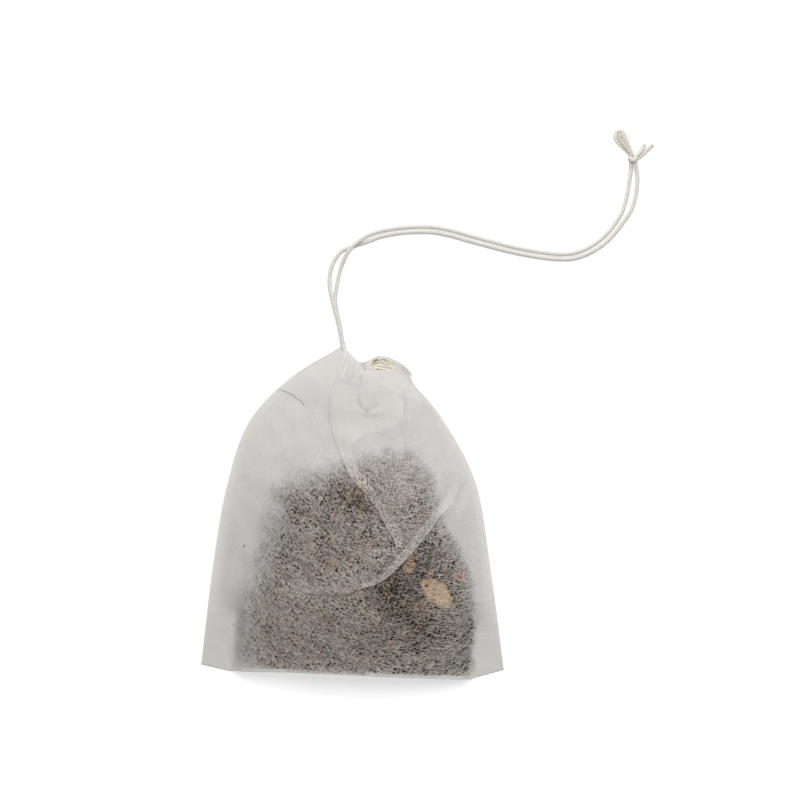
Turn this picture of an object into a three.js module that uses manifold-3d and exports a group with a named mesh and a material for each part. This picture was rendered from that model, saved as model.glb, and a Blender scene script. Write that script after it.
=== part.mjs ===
// Drawstring filter bag of thin paper, filled with leaf tea and lying on its back.
// Millimetres. +X runs across the bag, +Y from its folded bottom to its cinched neck, +Z up from the table.
// The origin is on the table, under the middle of the bag.

import * as THREE from 'three';
import { mergeVertices } from 'three/addons/utils/BufferGeometryUtils.js';
import Module from 'manifold-3d';

const wasm = await Module();
wasm.setup();

// Paper bag, as it lies
const BAG_WIDTH = 70;
const BAG_LENGTH = 76.8;
const PAPER_WALL = 0.25;
const WELD_WIDTH = 0.8;
const LAYER_GAP = 0.3;
const CLEARANCE = 0.3;

// Bottom edge: the front fold hangs lower than the corner tips, by a slanted run at each end
const LEFT_TIP_RISE = 3.4;
const RIGHT_TIP_RISE = 2.1;
const LEFT_TIP_RUN = 6.4;
const RIGHT_TIP_RUN = 7.8;
const BOTTOM_SLANT = 1.9;
const GUSSET_DEPTH = 11.8;

// Cinched neck: a peak on the left where the string leaves, a dip, a hump with the notch, a shoulder
const NECK_LEFT = -2.9;
const NECK_RIGHT = 13.9;
const SHOULDER_DROP = 6.2;
const DIP_DROP = 3.5;
const HUMP_DROP = 2.0;

// Profile of the neck between its ends: share across, and how far it lies below the peak
const NECK_PROFILE = [[0.11, 0.8], [0.29, DIP_DROP], [0.56, HUMP_DROP], [0.83, HUMP_DROP + 1.6]];

// Heights above the table, and the shares up the bag between which one gives way to the next
const SEAM_HEIGHT = 1.3;
const SEAM_OPENING = 0.6;
const EDGE_HEIGHT = 6.6;
const FILL_HEIGHT = 9.4;
const SLACK_HEIGHT = 5.6;
const NECK_HEIGHT = 5.2;
const FILL_SPAN = [0, 0.22];
const SLACK_SPAN = [0.4, 0.75];
const NECK_SPAN = [0.85, 1];
const LIFT_SPAN = [0.78, 1];

// Gathers at the neck
const GATHER_COUNT = 6;
const GATHER_HEIGHT = 0.55;
const GATHER_START = 0.9;

// Tuck under the tongue, and the notch cut in the hem
const TUCK_WIDTH = 3.5;
const NOTCH_WIDTH = 5.8;
const NOTCH_LENGTH = 2.6;
const NOTCH_AT = 0.63;

// Tea inside
const TEA_LEFT_INSET = 10;
const TEA_RIGHT_INSET = 6.5;
const TEA_BOTTOM_INSET = 1.3;
const TEA_LENGTH = 48;
const HEAP_PROFILE = [[0, 0], [0.5, 0], [0.93, 0], [1, 0.14], [0.95, 0.5], [0.84, 0.8], [0.65, 0.96],
  [0.35, 1], [0, 1]];
const HEAP_SIDES = 32;
const CHIP_DEPTH = 1.2;

// Cotton string
const STRING_DIAMETER = 0.9;
const STRING_SIDES = 8;
const STRING_STEP = 2.5;
const HEM_DROP = 2.1;
const HEM_RETURN = 1.6;
const HEM_FRONT = [0.16, 0.32, 0.5, 0.68, 0.84];
const HEM_BACK = [0.8, 0.6, 0.4, 0.22];
const HEM_STEPS = 24;

// Side outlines as shares of the way up and of the way in, from a bottom corner to the neck
const LEFT_SIDE = [[0, 0], [0.327, 0.093], [0.556, 0.184], [0.757, 0.336], [0.898, 0.626], [1, 1]];
const RIGHT_SIDE = [[0, 0], [0.334, 0.142], [0.632, 0.308], [0.848, 0.668], [0.966, 0.983], [1, 1]];

// Fold lines on the front as [share up the bag, share across it], and where each fold starts and dies out
const TONGUE_EDGE = [[0, 0.38], [0.19, 0.27], [0.25, 0.35], [0.36, 0.54], [0.43, 0.62], [0.515, 0.548],
  [0.654, 0.417], [0.782, 0.326], [0.918, 0.243], [1, 0.3]];
const TONGUE_HIDDEN_EDGE = [[0, 0.46], [0.19, 0.33], [0.25, 0.41], [0.36, 0.6], [0.43, 0.68], [0.664, 0.707],
  [0.805, 0.733], [0.93, 0.7], [1, 0.6]];
const TUCK_EDGE = [[0, 0.78], [0.19, 0.43], [0.23, 0.5], [0.25, 0.55], [0.285, 0.621], [0.355, 0.705],
  [0.411, 0.762], [0.467, 0.814], [0.537, 0.892], [0.628, 0.94], [0.8, 0.905], [1, 0.88]];
const TONGUE_SPAN = [0.37, 0.46, 0.9, 0.96];
const TUCK_SPAN = [0.19, 0.31, 0.53, 0.64];
const TUCK_RAMP = [0.3, 0.08];
const SETTLE_RUN = 0.15;
const FLAT_RUN = 2.5;

// Amounts at which a fold has become a full step, and at which its middle layer has leant right over
const STEPPED = 0.35;
const LAID_OVER = 0.8;

// Points along the sheet in one row: plain panels beside the folds, each layer of a fold, each bend of a fold
const PANEL_POINTS = 5;
const TONGUE_LAYER_POINTS = 4;
const TUCK_LAYER_POINTS = 3;
const TURN_SHARES = [0.25, 0.5, 0.75];
const BACK_POINTS = 13;
const ROWS = 26;

// Free strands, from the neck to the knot. The first crosses under the second in the bend.
const STRAND_A = [
  [-2.3, 39.2, 1.7], [-2.7, 41.4, 1.7], [-3.3, 44.2, 1.7], [-4.0, 47.0, 1.7], [-4.7, 49.8, 1.5],
  [-5.2, 52.1, 0.9], [-5.3, 54.4, 0.5], [-4.9, 56.7, 0.5], [-3.9, 59.0, 0.5], [-2.2, 60.9, 0.5],
  [-0.1, 61.7, 0.5], [3.8, 63.0, 0.5], [6.5, 64.0, 0.5], [10.6, 64.8, 0.5], [14.7, 65.1, 0.5],
  [18.8, 65.0, 0.5], [22.9, 64.2, 0.5], [27.1, 63.0, 0.5], [31.2, 61.9, 0.5], [35.4, 60.8, 0.5],
  [39.6, 59.9, 0.5], [43.8, 59.2, 0.5], [48.0, 58.8, 0.5], [51.4, 59.0, 0.5], [54.8, 60.2, 0.5],
  [57.9, 62.1, 0.5], [60.4, 64.5, 0.5], [62.4, 67.0, 0.5], [64.0, 69.3, 0.5], [65.0, 71.4, 0.5],
  [65.6, 73.8, 0.5], [65.9, 76.4, 0.5], [65.9, 78.5, 0.6], [65.6, 80.0, 0.8],
];
const STRAND_B = [
  [-2.2, 39.2, 0.5], [-2.6, 41.4, 0.5], [-3.1, 44.2, 0.5], [-3.7, 47.0, 0.5], [-4.0, 49.8, 0.5],
  [-3.7, 52.1, 0.5], [-3.3, 54.2, 0.5], [-2.7, 56.7, 0.6], [-1.8, 58.9, 1.1], [-0.7, 60.9, 1.7],
  [1.1, 62.7, 1.7], [3.4, 64.2, 1.2], [6.2, 65.2, 0.6], [10.5, 66.0, 0.5], [14.7, 66.3, 0.5],
  [18.9, 66.2, 0.5], [23.2, 65.4, 0.5], [27.4, 64.2, 0.5], [31.5, 63.1, 0.5], [35.7, 62.0, 0.5],
  [39.8, 61.1, 0.5], [44.0, 60.4, 0.5], [48.1, 60.0, 0.5], [51.1, 60.2, 0.5], [54.2, 61.3, 0.5],
  [57.1, 63.1, 0.5], [59.5, 65.4, 0.5], [61.2, 67.7, 0.5], [62.3, 69.5, 0.5], [63.0, 71.5, 0.5],
  [63.6, 73.9, 0.5], [64.0, 76.4, 0.5], [64.3, 78.5, 0.6], [64.4, 80.0, 0.8],
];

// Knot, doubled end loop and cut tails
const KNOT_RADIUS = 0.85;
const KNOT_CENTRE = [64.8, 82.0, KNOT_RADIUS + STRING_DIAMETER / 2];
const KNOT_TILTS = [0.35, -0.35];
const KNOT_LEAN = 0.5;
const WRAP_STEPS = 10;
const LOOP_STEPS = 14;
const TAIL_STEPS = 4;
const OUTER_LOOP = [
  [64.7, 82.2, 1.2], [63.8, 83.6, 0.8], [62.4, 84.9, 0.6], [61.2, 86.1, 0.5], [60.8, 87.2, 0.5],
  [61.1, 88.1, 0.5], [61.9, 88.5, 0.5], [62.7, 88.0, 0.5], [63.4, 86.6, 0.5], [64.0, 84.8, 0.7],
  [64.8, 82.6, 1.2],
];
const INNER_LOOP = [
  [64.7, 82.4, 1.6], [63.5, 84.3, 1.3], [62.4, 85.7, 1.0], [61.7, 86.6, 0.9], [61.6, 87.3, 0.8],
  [61.9, 87.6, 0.8], [62.4, 87.3, 0.9], [63.0, 86.2, 1.1], [63.8, 84.4, 1.4], [64.8, 82.4, 1.6],
];
const TAILS = [
  [[65.0, 82.0, 1.6], [66.2, 83.2, 1.4], [67.0, 84.3, 1.1], [67.6, 85.4, 0.8]],
  [[65.1, 81.7, 1.1], [66.6, 82.6, 0.8], [68.1, 84.0, 0.6], [69.5, 85.3, 0.5]],
];
const KNOT_STUBS = [
  [[65.5, 80.4, 0.85], [65.3, 81.0, 1.0], [65.0, 81.9, 1.3]],
  [[64.4, 80.4, 0.85], [64.5, 81.0, 1.0], [64.7, 81.9, 1.3]],
];

// Larger pieces in the tea: a place as shares up and across the bag, and an outline around it
const CHIPS = {
  fruit_piece: {
    at: [0.249, 0.794],
    outline: [[-3.8, 0.8], [-3.1, 2.9], [0, 2.9], [3.2, 0.8], [3.2, -2.8], [1.9, -3.1], [-1.6, -1.3]],
    color: 0xd2ab7d,
  },
  peel_piece: {
    at: [0.3, 0.7],
    outline: [[-1.9, -1.2], [-0.6, 1.6], [1.4, 1.9], [2, 0.2], [0.6, -1.7]],
    color: 0xc67a3c,
  },
  berry_piece: {
    at: [0.31, 0.877],
    outline: [[-1.5, -0.9], [-1, 1.1], [0.6, 1.4], [1.5, 0.2], [0.7, -1.3]],
    color: 0xa8483a,
  },
};

const { clamp, lerp, smoothstep } = THREE.MathUtils;
const BOTTOM = -BAG_LENGTH / 2;
const TOP = BAG_LENGTH / 2;
const LAYER_PITCH = PAPER_WALL + LAYER_GAP;
const CORNERS = {
  bottomLeft: new THREE.Vector2(-BAG_WIDTH / 2, BOTTOM + LEFT_TIP_RISE),
  bottomRight: new THREE.Vector2(BAG_WIDTH / 2, BOTTOM + RIGHT_TIP_RISE),
  topLeft: new THREE.Vector2(NECK_LEFT, TOP),
  topRight: new THREE.Vector2(NECK_RIGHT, TOP - SHOULDER_DROP),
};

// Outlines of the bag, seen from above

function sideOutline(shares, corner, neck) {
  return new THREE.SplineCurve(shares.map(([up, across]) => new THREE.Vector2(
    lerp(corner.x, neck.x, across),
    lerp(corner.y, neck.y, up),
  )));
}

function neckOutline() {
  const between = NECK_PROFILE.map(([share, drop]) => (
    new THREE.Vector2(lerp(NECK_LEFT, NECK_RIGHT, share), TOP - drop)
  ));
  return new THREE.SplineCurve([CORNERS.topLeft, ...between, CORNERS.topRight]);
}

function bottomOutline() {
  const { bottomLeft, bottomRight } = CORNERS;
  const path = new THREE.CurvePath();
  const foldLeft = new THREE.Vector2(bottomLeft.x + LEFT_TIP_RUN, BOTTOM + BOTTOM_SLANT);
  const foldRight = new THREE.Vector2(bottomRight.x - RIGHT_TIP_RUN, BOTTOM);
  path.add(new THREE.LineCurve(bottomLeft, foldLeft));
  path.add(new THREE.LineCurve(foldLeft, foldRight));
  path.add(new THREE.LineCurve(foldRight, bottomRight));
  return path;
}

const leftSide = sideOutline(LEFT_SIDE, CORNERS.bottomLeft, CORNERS.topLeft);
const rightSide = sideOutline(RIGHT_SIDE, CORNERS.bottomRight, CORNERS.topRight);
const neckEdge = neckOutline();
const bottomEdge = bottomOutline();

// A place on the bag: a share across it and a share up it, blended from its four outlines
function plan(across, up) {
  const sides = leftSide.getPointAt(up).lerp(rightSide.getPointAt(up), across);
  const ends = bottomEdge.getPointAt(across).lerp(neckEdge.getPointAt(across), up);
  const bottomLine = CORNERS.bottomLeft.clone().lerp(CORNERS.bottomRight, across);
  const topLine = CORNERS.topLeft.clone().lerp(CORNERS.topRight, across);
  return sides.add(ends).sub(bottomLine.lerp(topLine, up));
}

function rowWidth(up) {
  return leftSide.getPointAt(up).distanceTo(rightSide.getPointAt(up));
}

// Heights of the two panels at the middle of their paper

function crown(up) {
  const filled = lerp(EDGE_HEIGHT, FILL_HEIGHT, smoothstep(up, ...FILL_SPAN));
  const slack = lerp(filled, SLACK_HEIGHT, smoothstep(up, ...SLACK_SPAN));
  return lerp(slack, NECK_HEIGHT, smoothstep(up, ...NECK_SPAN));
}

function gather(across, up) {
  const wave = Math.cos(2 * Math.PI * GATHER_COUNT * across);
  return GATHER_HEIGHT * smoothstep(up, GATHER_START, 1) * wave * (1 - (2 * across - 1) ** 2);
}

function frontHeight(across, up) {
  const seam = SEAM_HEIGHT + SEAM_OPENING / 2;
  const flatCorner = (1 - smoothstep(up, 0, GUSSET_DEPTH / BAG_LENGTH)) * 2 * LEFT_TIP_RUN / BAG_WIDTH;
  const reach = clamp(Math.abs(2 * across - 1) / (1 - flatCorner), 0, 1);
  return lerp(seam, crown(up), 1 - reach ** 2) + gather(across, up);
}

function backHeight(across, up) {
  const low = PAPER_WALL / 2;
  const seam = SEAM_HEIGHT - SEAM_OPENING / 2;
  const lifted = lerp(low, seam, smoothstep(Math.abs(2 * across - 1), ...LIFT_SPAN));
  return lifted + Math.max(0, gather(across, up));
}

// Fold lines: straight runs between [up, across] points, read by the share up the bag

function readLine(line, up) {
  const last = line.length - 1;
  const k = clamp(line.findIndex(([at]) => at >= up), 1, last);
  const [from, to] = [line[k - 1], line[k]];
  return lerp(from[1], to[1], clamp((up - from[0]) / (to[0] - from[0]), 0, 1));
}

function formed([start, full, fade, end], up) {
  return smoothstep(up, start, full) * (1 - smoothstep(up, fade, end));
}

// How far a fold has risen from flat paper to a step, from its amount
function risen(amount) {
  return smoothstep(amount, 0, STEPPED);
}

// Section through one fold about its middle, along the row and up. The sheet comes in on the lower panel,
// bends up to the heading of its middle layer and bends back onto the upper panel. At first it is a step;
// further on the middle layer leans right over and lies flat between the two panels.
function foldSection(overlap, amount, count) {
  const radius = LAYER_PITCH / 2;
  const lean = clamp((amount - STEPPED) / (LAID_OVER - STEPPED), 0, 1);
  const heading = lerp(Math.PI / 3, Math.PI, lean);
  const leaning = Math.max(2 * radius / Math.tan(heading / 2), radius);
  const length = leaning + (overlap - 3 * radius) * smoothstep(amount, LAID_OVER, 1);
  const middleEnd = new THREE.Vector2(Math.cos(heading), Math.sin(heading)).multiplyScalar(length / 2);
  const towardsCentre = new THREE.Vector2(Math.sin(heading), -Math.cos(heading));
  const centre = towardsCentre.multiplyScalar(radius).add(middleEnd);
  const run = Math.max(FLAT_RUN, -2 * centre.x);
  const shares = Array.from({ length: count }, (_, i) => i / (count - 1));
  const middle = shares.map((share) => middleEnd.clone().multiplyScalar(2 * share - 1));
  const bend = TURN_SHARES.map((share) => {
    const angle = heading * (1 - share);
    return new THREE.Vector2(-Math.sin(angle), Math.cos(angle)).multiplyScalar(radius).add(centre);
  });
  const upper = shares.map((share) => new THREE.Vector2(centre.x + run * share, centre.y + radius));
  const lowerHalf = [...bend, ...upper].map((point) => point.clone().negate()).reverse();
  return [...lowerHalf, ...middle, ...bend, ...upper];
}

// Points of one fold, from its lower panel to its upper one, which lies two layers higher
function foldPoints({ hidden, edge, width, count, amount, flatLevel }) {
  const way = Math.sign(hidden - edge);
  const section = foldSection(Math.abs(hidden - edge) * width, amount, count);
  return section.map((point, i) => {
    const flat = FLAT_RUN * (2 * i / (section.length - 1) - 1);
    const across = (hidden + edge) / 2 + way * lerp(flat, point.x, risen(amount)) / width;
    return { across, level: lerp(flatLevel(across), 1 + point.y / LAYER_PITCH, risen(amount)) };
  });
}

function panelPoints(from, to, levelAt) {
  return Array.from({ length: PANEL_POINTS }, (_, i) => {
    const across = lerp(from.across, to.across, (i + 1) / (PANEL_POINTS + 1));
    return { across, level: levelAt(across) };
  });
}

// The front sheet at one row, from the left seam to the right one, as places across and layers up
function frontPoints(up, seams) {
  const width = rowWidth(up);
  const tongueAmount = formed(TONGUE_SPAN, up);
  const tuckAmount = formed(TUCK_SPAN, up);
  const tongueStep = risen(tongueAmount);
  const tuckStep = risen(tuckAmount);
  const tuckEdge = readLine(TUCK_EDGE, up);
  const tongueHidden = readLine(TONGUE_HIDDEN_EDGE, up);

  const [rampStart, rampEnd] = TUCK_RAMP.map((run) => tuckEdge - run);
  const ramp = (across) => 2 * tuckStep * smoothstep(across, rampStart, rampEnd);
  const settled = (across) => (1 - tuckStep) * smoothstep(across, tongueHidden, tongueHidden + SETTLE_RUN);
  const underTongue = (across) => lerp(ramp(across), 0, tongueStep);
  const onTongue = (across) => lerp(ramp(across), 2 - 2 * settled(across), tongueStep);
  const pastTuck = (across) => lerp(onTongue(across), 0, tuckStep);

  const tongue = foldPoints({
    hidden: tongueHidden,
    edge: readLine(TONGUE_EDGE, up),
    width,
    count: TONGUE_LAYER_POINTS,
    amount: tongueAmount,
    flatLevel: ramp,
  });
  const tuck = foldPoints({
    hidden: tuckEdge - TUCK_WIDTH / width,
    edge: tuckEdge,
    width,
    count: TUCK_LAYER_POINTS,
    amount: tuckAmount,
    flatLevel: onTongue,
  }).reverse();
  const [leftSeam, rightSeam] = seams.map((across) => ({ across, level: 0 }));
  return [
    leftSeam,
    ...panelPoints(leftSeam, tongue[0], underTongue),
    ...tongue,
    ...panelPoints(tongue.at(-1), tuck[0], onTongue),
    ...tuck,
    ...panelPoints(tuck.at(-1), rightSeam, pastTuck),
    rightSeam,
  ];
}

// One ring round the bag, offset from the middle of its paper. The inside stops short of the welded edges.
function ring(row, offset) {
  const weld = offset < 0 ? WELD_WIDTH : 0;
  const up = clamp(row / ROWS, weld / BAG_LENGTH, 1 - weld / BAG_LENGTH);
  const seams = [weld / rowWidth(up), 1 - weld / rowWidth(up)];
  const points = frontPoints(row / ROWS, seams).map(({ across, level }) => {
    const { x, y } = plan(across, up);
    return new THREE.Vector3(x, y, frontHeight(across, up) + level * LAYER_PITCH);
  });
  for (let i = BACK_POINTS; i >= 0; i -= 1) {
    const across = lerp(...seams, i / BACK_POINTS);
    const { x, y } = plan(across, up);
    points.push(new THREE.Vector3(x, y, backHeight(across, up)));
  }
  return points.map((point, i) => {
    const before = points.at(i - 1);
    const after = points[(i + 1) % points.length];
    const normal = new THREE.Vector2(before.z - after.z, after.x - before.x).normalize();
    return point.clone().add(new THREE.Vector3(normal.x * offset, 0, normal.y * offset));
  });
}

// Solids

function signedVolume(geometry) {
  const position = geometry.getAttribute('position');
  const index = geometry.getIndex();
  const corner = (k) => new THREE.Vector3().fromBufferAttribute(position, index.getX(k));
  let volume = 0;
  for (let k = 0; k < index.count; k += 3) {
    volume += corner(k).dot(corner(k + 1).cross(corner(k + 2))) / 6;
  }
  return volume;
}

function toSolid(geometry) {
  const bare = geometry.clone();
  bare.deleteAttribute('normal');
  bare.deleteAttribute('uv');
  const merged = mergeVertices(bare, 1e-4);
  const triVerts = Uint32Array.from(merged.getIndex().array);
  if (signedVolume(merged) < 0) {
    triVerts.reverse();
  }
  const vertProperties = Float32Array.from(merged.getAttribute('position').array);
  return new wasm.Manifold(new wasm.Mesh({ numProp: 3, vertProperties, triVerts }));
}

function toGeometry(solid) {
  const { vertProperties, triVerts } = solid.getMesh();
  const geometry = new THREE.BufferGeometry();
  geometry.setAttribute('position', new THREE.BufferAttribute(vertProperties, 3));
  geometry.setIndex(new THREE.BufferAttribute(triVerts, 1));
  geometry.computeVertexNormals();
  return geometry;
}

// The end of the bag: a strip of triangles between the front and the back of one ring, from left to right
function endCap(points) {
  const faces = [];
  let front = 0;
  let back = points.length - 1;
  const lastFront = points.length - BACK_POINTS - 2;
  while (front < lastFront || back > lastFront + 1) {
    const frontNext = front < lastFront ? points[front + 1].x : Infinity;
    const backNext = back > lastFront + 1 ? points[back - 1].x : Infinity;
    if (frontNext < backNext) {
      faces.push(front, back, front + 1);
      front += 1;
    } else {
      faces.push(front, back, back - 1);
      back -= 1;
    }
  }
  return faces;
}

function loft(rings) {
  const count = rings[0].length;
  const faces = [];
  for (let row = 0; row < rings.length - 1; row += 1) {
    for (let i = 0; i < count; i += 1) {
      const [a, b] = [row * count + i, row * count + (i + 1) % count];
      faces.push(a, b, b + count, a, b + count, a + count);
    }
  }
  for (const row of [0, rings.length - 1]) {
    const cap = endCap(rings[row]).map((k) => row * count + k);
    faces.push(...(row === 0 ? cap : cap.reverse()));
  }
  const geometry = new THREE.BufferGeometry().setFromPoints(rings.flat());
  geometry.setIndex(faces);
  return geometry;
}

function stringTube(points, fixedSteps) {
  const curve = new THREE.CatmullRomCurve3(points.map((point) => new THREE.Vector3(...point)));
  const section = new THREE.Shape(Array.from({ length: STRING_SIDES }, (_, i) => {
    const angle = 2 * Math.PI * i / STRING_SIDES;
    return new THREE.Vector2(Math.cos(angle), Math.sin(angle)).multiplyScalar(STRING_DIAMETER / 2);
  }));
  const steps = fixedSteps ?? Math.round(curve.getLength() / STRING_STEP);
  return new THREE.ExtrudeGeometry(section, { steps, extrudePath: curve });
}

// Filter bag: the folded sheet with its notch

function skin(offset) {
  return toSolid(loft(Array.from({ length: ROWS + 1 }, (_, row) => ring(row, offset))));
}

function notchCutter() {
  const centre = plan(NOTCH_AT, 1);
  const outline = new THREE.Shape();
  const radius = NOTCH_LENGTH / 2;
  const straight = NOTCH_WIDTH / 2 - radius;
  outline.absarc(straight, 0, radius, -Math.PI / 2, Math.PI / 2);
  outline.absarc(-straight, 0, radius, Math.PI / 2, 1.5 * Math.PI);
  const settings = { depth: NECK_HEIGHT, bevelEnabled: false, curveSegments: 6 };
  const cutter = new THREE.ExtrudeGeometry(outline, settings);
  return toSolid(cutter.translate(centre.x, centre.y - HEM_DROP, NECK_HEIGHT / 2));
}

function filterBag() {
  const sheet = skin(PAPER_WALL / 2).subtract(skin(-PAPER_WALL / 2));
  return toGeometry(sheet.subtract(notchCutter()));
}

// Tea: a rounded heap that fills the lower part of the bag, with a pocket for each larger piece

function teaCeiling(across, up) {
  return frontHeight(across, up) - PAPER_WALL / 2 - CLEARANCE;
}

function teaHeap() {
  const profile = HEAP_PROFILE.map(([reach, height]) => new THREE.Vector2(reach, height));
  const heap = new THREE.LatheGeometry(profile, HEAP_SIDES);
  const position = heap.getAttribute('position');
  const floor = PAPER_WALL + CLEARANCE;
  const shareUp = (length) => length / leftSide.getLength();
  for (let i = 0; i < position.count; i += 1) {
    const [side, height, along] = [position.getX(i), position.getY(i), position.getZ(i)];
    const angle = Math.atan2(along, side);
    const square = (Math.cos(angle) ** 4 + Math.sin(angle) ** 4) ** -0.25;
    const up = shareUp(TEA_BOTTOM_INSET + TEA_LENGTH * (1 + along * square) / 2);
    const width = rowWidth(up);
    const [from, to] = [TEA_LEFT_INSET / width, 1 - TEA_RIGHT_INSET / width];
    const across = lerp(from, to, (1 + side * square) / 2);
    const { x, y } = plan(across, up);
    position.setXYZ(i, x, y, lerp(floor, teaCeiling(across, up), height));
  }
  return toSolid(heap);
}

function chip({ at, outline }, grow) {
  const [up, across] = at;
  const step = 0.02;
  const point = (u, a) => {
    const { x, y } = plan(a, u);
    return new THREE.Vector3(x, y, teaCeiling(a, u));
  };
  const centre = point(up, across);
  const right = point(up, across + step).sub(centre).normalize();
  const normal = right.clone().cross(point(up + step, across).sub(centre)).normalize();
  const shape = new THREE.Shape(outline.map(([x, y]) => {
    const spread = 1 + grow / Math.hypot(x, y);
    return new THREE.Vector2(x * spread, y * spread);
  }));
  const depth = CHIP_DEPTH + 2 * grow;
  const flake = new THREE.ExtrudeGeometry(shape, { depth, bevelEnabled: false });
  flake.translate(0, 0, -CHIP_DEPTH - CLEARANCE - grow);
  const turn = new THREE.Matrix4().makeBasis(right, normal.clone().cross(right), normal);
  return flake.applyMatrix4(turn.setPosition(centre));
}

function pocket(piece) {
  return toSolid(chip(piece, CLEARANCE)).add(toSolid(chip(piece, CLEARANCE).translate(0, 0, CHIP_DEPTH)));
}

function teaLeaves() {
  const heap = Object.values(CHIPS).reduce((rest, piece) => rest.subtract(pocket(piece)), teaHeap());
  return toGeometry(heap);
}

// String inside the hem: along the front under the notch, round the right end and back along the table side

function hemString() {
  const radius = STRING_DIAMETER / 2;
  const inner = PAPER_WALL / 2 + CLEARANCE + radius;
  const front = HEM_FRONT.map((across) => {
    const { x, y } = plan(across, 1);
    const height = frontHeight(across, 1) - gather(across, 1) - GATHER_HEIGHT / 2 - inner;
    return [x, y - HEM_DROP, height];
  });
  const back = HEM_BACK.map((across) => {
    const { x, y } = plan(across, 1);
    return [x, y - HEM_DROP - HEM_RETURN, PAPER_WALL / 2 + GATHER_HEIGHT + inner];
  });
  return stringTube([...front, ...back], HEM_STEPS);
}

// Knot: two crossed wraps of string over the strands, the doubled loop and the two cut tails

function knot() {
  const wraps = KNOT_TILTS.map((tilt) => {
    const wrap = new THREE.TorusGeometry(KNOT_RADIUS, STRING_DIAMETER / 2, STRING_SIDES, WRAP_STEPS);
    return wrap.rotateX(Math.PI / 2 + KNOT_LEAN).rotateZ(tilt).translate(...KNOT_CENTRE);
  });
  const core = new THREE.IcosahedronGeometry(KNOT_RADIUS + STRING_DIAMETER / 4, 1).translate(...KNOT_CENTRE);
  const runs = [OUTER_LOOP, INNER_LOOP].map((points) => stringTube(points, LOOP_STEPS));
  const ends = [...TAILS, ...KNOT_STUBS].map((points) => stringTube(points, TAIL_STEPS));
  return toGeometry([core, ...wraps, ...runs, ...ends].map(toSolid).reduce((sum, solid) => sum.add(solid)));
}

// Finishes and assembly

const PAPER = { color: 0xd6d1cb, roughness: 0.95, metalness: 0 };
const TEA = { color: 0x3b332b, roughness: 0.95, metalness: 0 };
const COTTON = { color: 0xe3ddd0, roughness: 0.9, metalness: 0 };

function piece(name, geometry, finish) {
  const mesh = new THREE.Mesh(geometry, new THREE.MeshStandardMaterial(finish));
  mesh.name = name;
  return mesh;
}

const bag = new THREE.Group();
bag.add(piece('filter_bag', filterBag(), PAPER));
bag.add(piece('tea_leaves', teaLeaves(), TEA));
for (const [name, flake] of Object.entries(CHIPS)) {
  bag.add(piece(name, chip(flake, 0), { color: flake.color, roughness: 0.8, metalness: 0 }));
}

const drawstring = new THREE.Group();
drawstring.add(piece('drawstring_in_hem', hemString(), COTTON));
drawstring.add(piece('drawstring_strand_a', stringTube(STRAND_A), COTTON));
drawstring.add(piece('drawstring_strand_b', stringTube(STRAND_B), COTTON));
drawstring.add(piece('drawstring_knot', knot(), COTTON));

const teaBag = new THREE.Group();
teaBag.add(bag, drawstring);

export default teaBag;
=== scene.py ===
"""Drawstring filter bag of thin paper, filled with leaf tea and lying on its back on a white table.

Lengths are in millimetres until a mesh is made. +X runs across the bag, +Y from its folded bottom to its
cinched neck, and +Z up from the table.
"""

import logging
import math
from collections.abc import Callable, Sequence
from dataclasses import dataclass, field
from enum import Enum
from typing import Any

import bpy
import numpy as np
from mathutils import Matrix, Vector


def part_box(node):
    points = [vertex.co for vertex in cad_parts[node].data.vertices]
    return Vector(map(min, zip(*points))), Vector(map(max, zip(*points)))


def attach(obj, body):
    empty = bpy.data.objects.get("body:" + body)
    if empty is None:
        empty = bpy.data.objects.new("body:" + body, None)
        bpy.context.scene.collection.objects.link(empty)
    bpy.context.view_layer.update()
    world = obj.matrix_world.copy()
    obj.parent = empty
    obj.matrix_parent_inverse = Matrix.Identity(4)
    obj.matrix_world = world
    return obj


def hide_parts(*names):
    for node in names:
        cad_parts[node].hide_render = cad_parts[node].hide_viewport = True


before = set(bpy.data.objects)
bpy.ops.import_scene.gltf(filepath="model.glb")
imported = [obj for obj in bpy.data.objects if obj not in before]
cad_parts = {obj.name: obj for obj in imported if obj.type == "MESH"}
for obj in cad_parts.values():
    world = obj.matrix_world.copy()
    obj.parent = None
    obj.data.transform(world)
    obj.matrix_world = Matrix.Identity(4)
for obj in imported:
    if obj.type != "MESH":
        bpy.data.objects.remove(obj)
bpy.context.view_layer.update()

log = logging.getLogger("tea_bag")

MM = 0.001
FULL_TURN = 2 * math.pi
TINY = 1e-9
Point2 = tuple[float, float]
Point3 = tuple[float, float, float]
Colour = tuple[float, float, float]
Stops = Sequence[tuple[float, Colour]]
Zone = tuple[float, float, float, float]
Face = tuple[int, ...]


class Slot(Enum):
    """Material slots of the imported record."""

    PAPER = "filter_paper"
    TEA = "dried_tea"
    FRUIT = "dried_fruit"
    PEEL = "dried_peel"
    BERRY = "dried_berry"
    COTTON = "cotton_string"


# Curves and meshes


def lerp(start: Any, end: Any, share: Any) -> Any:
    """The value a share of the way from start to end."""
    return start + (end - start) * share


def smoothstep(value: Any, low: float, high: float) -> Any:
    """0 up to low, 1 from high on, and a smooth rise between them."""
    share = np.clip((value - low) / (high - low), 0, 1)
    return share * share * (3 - 2 * share)


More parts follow.
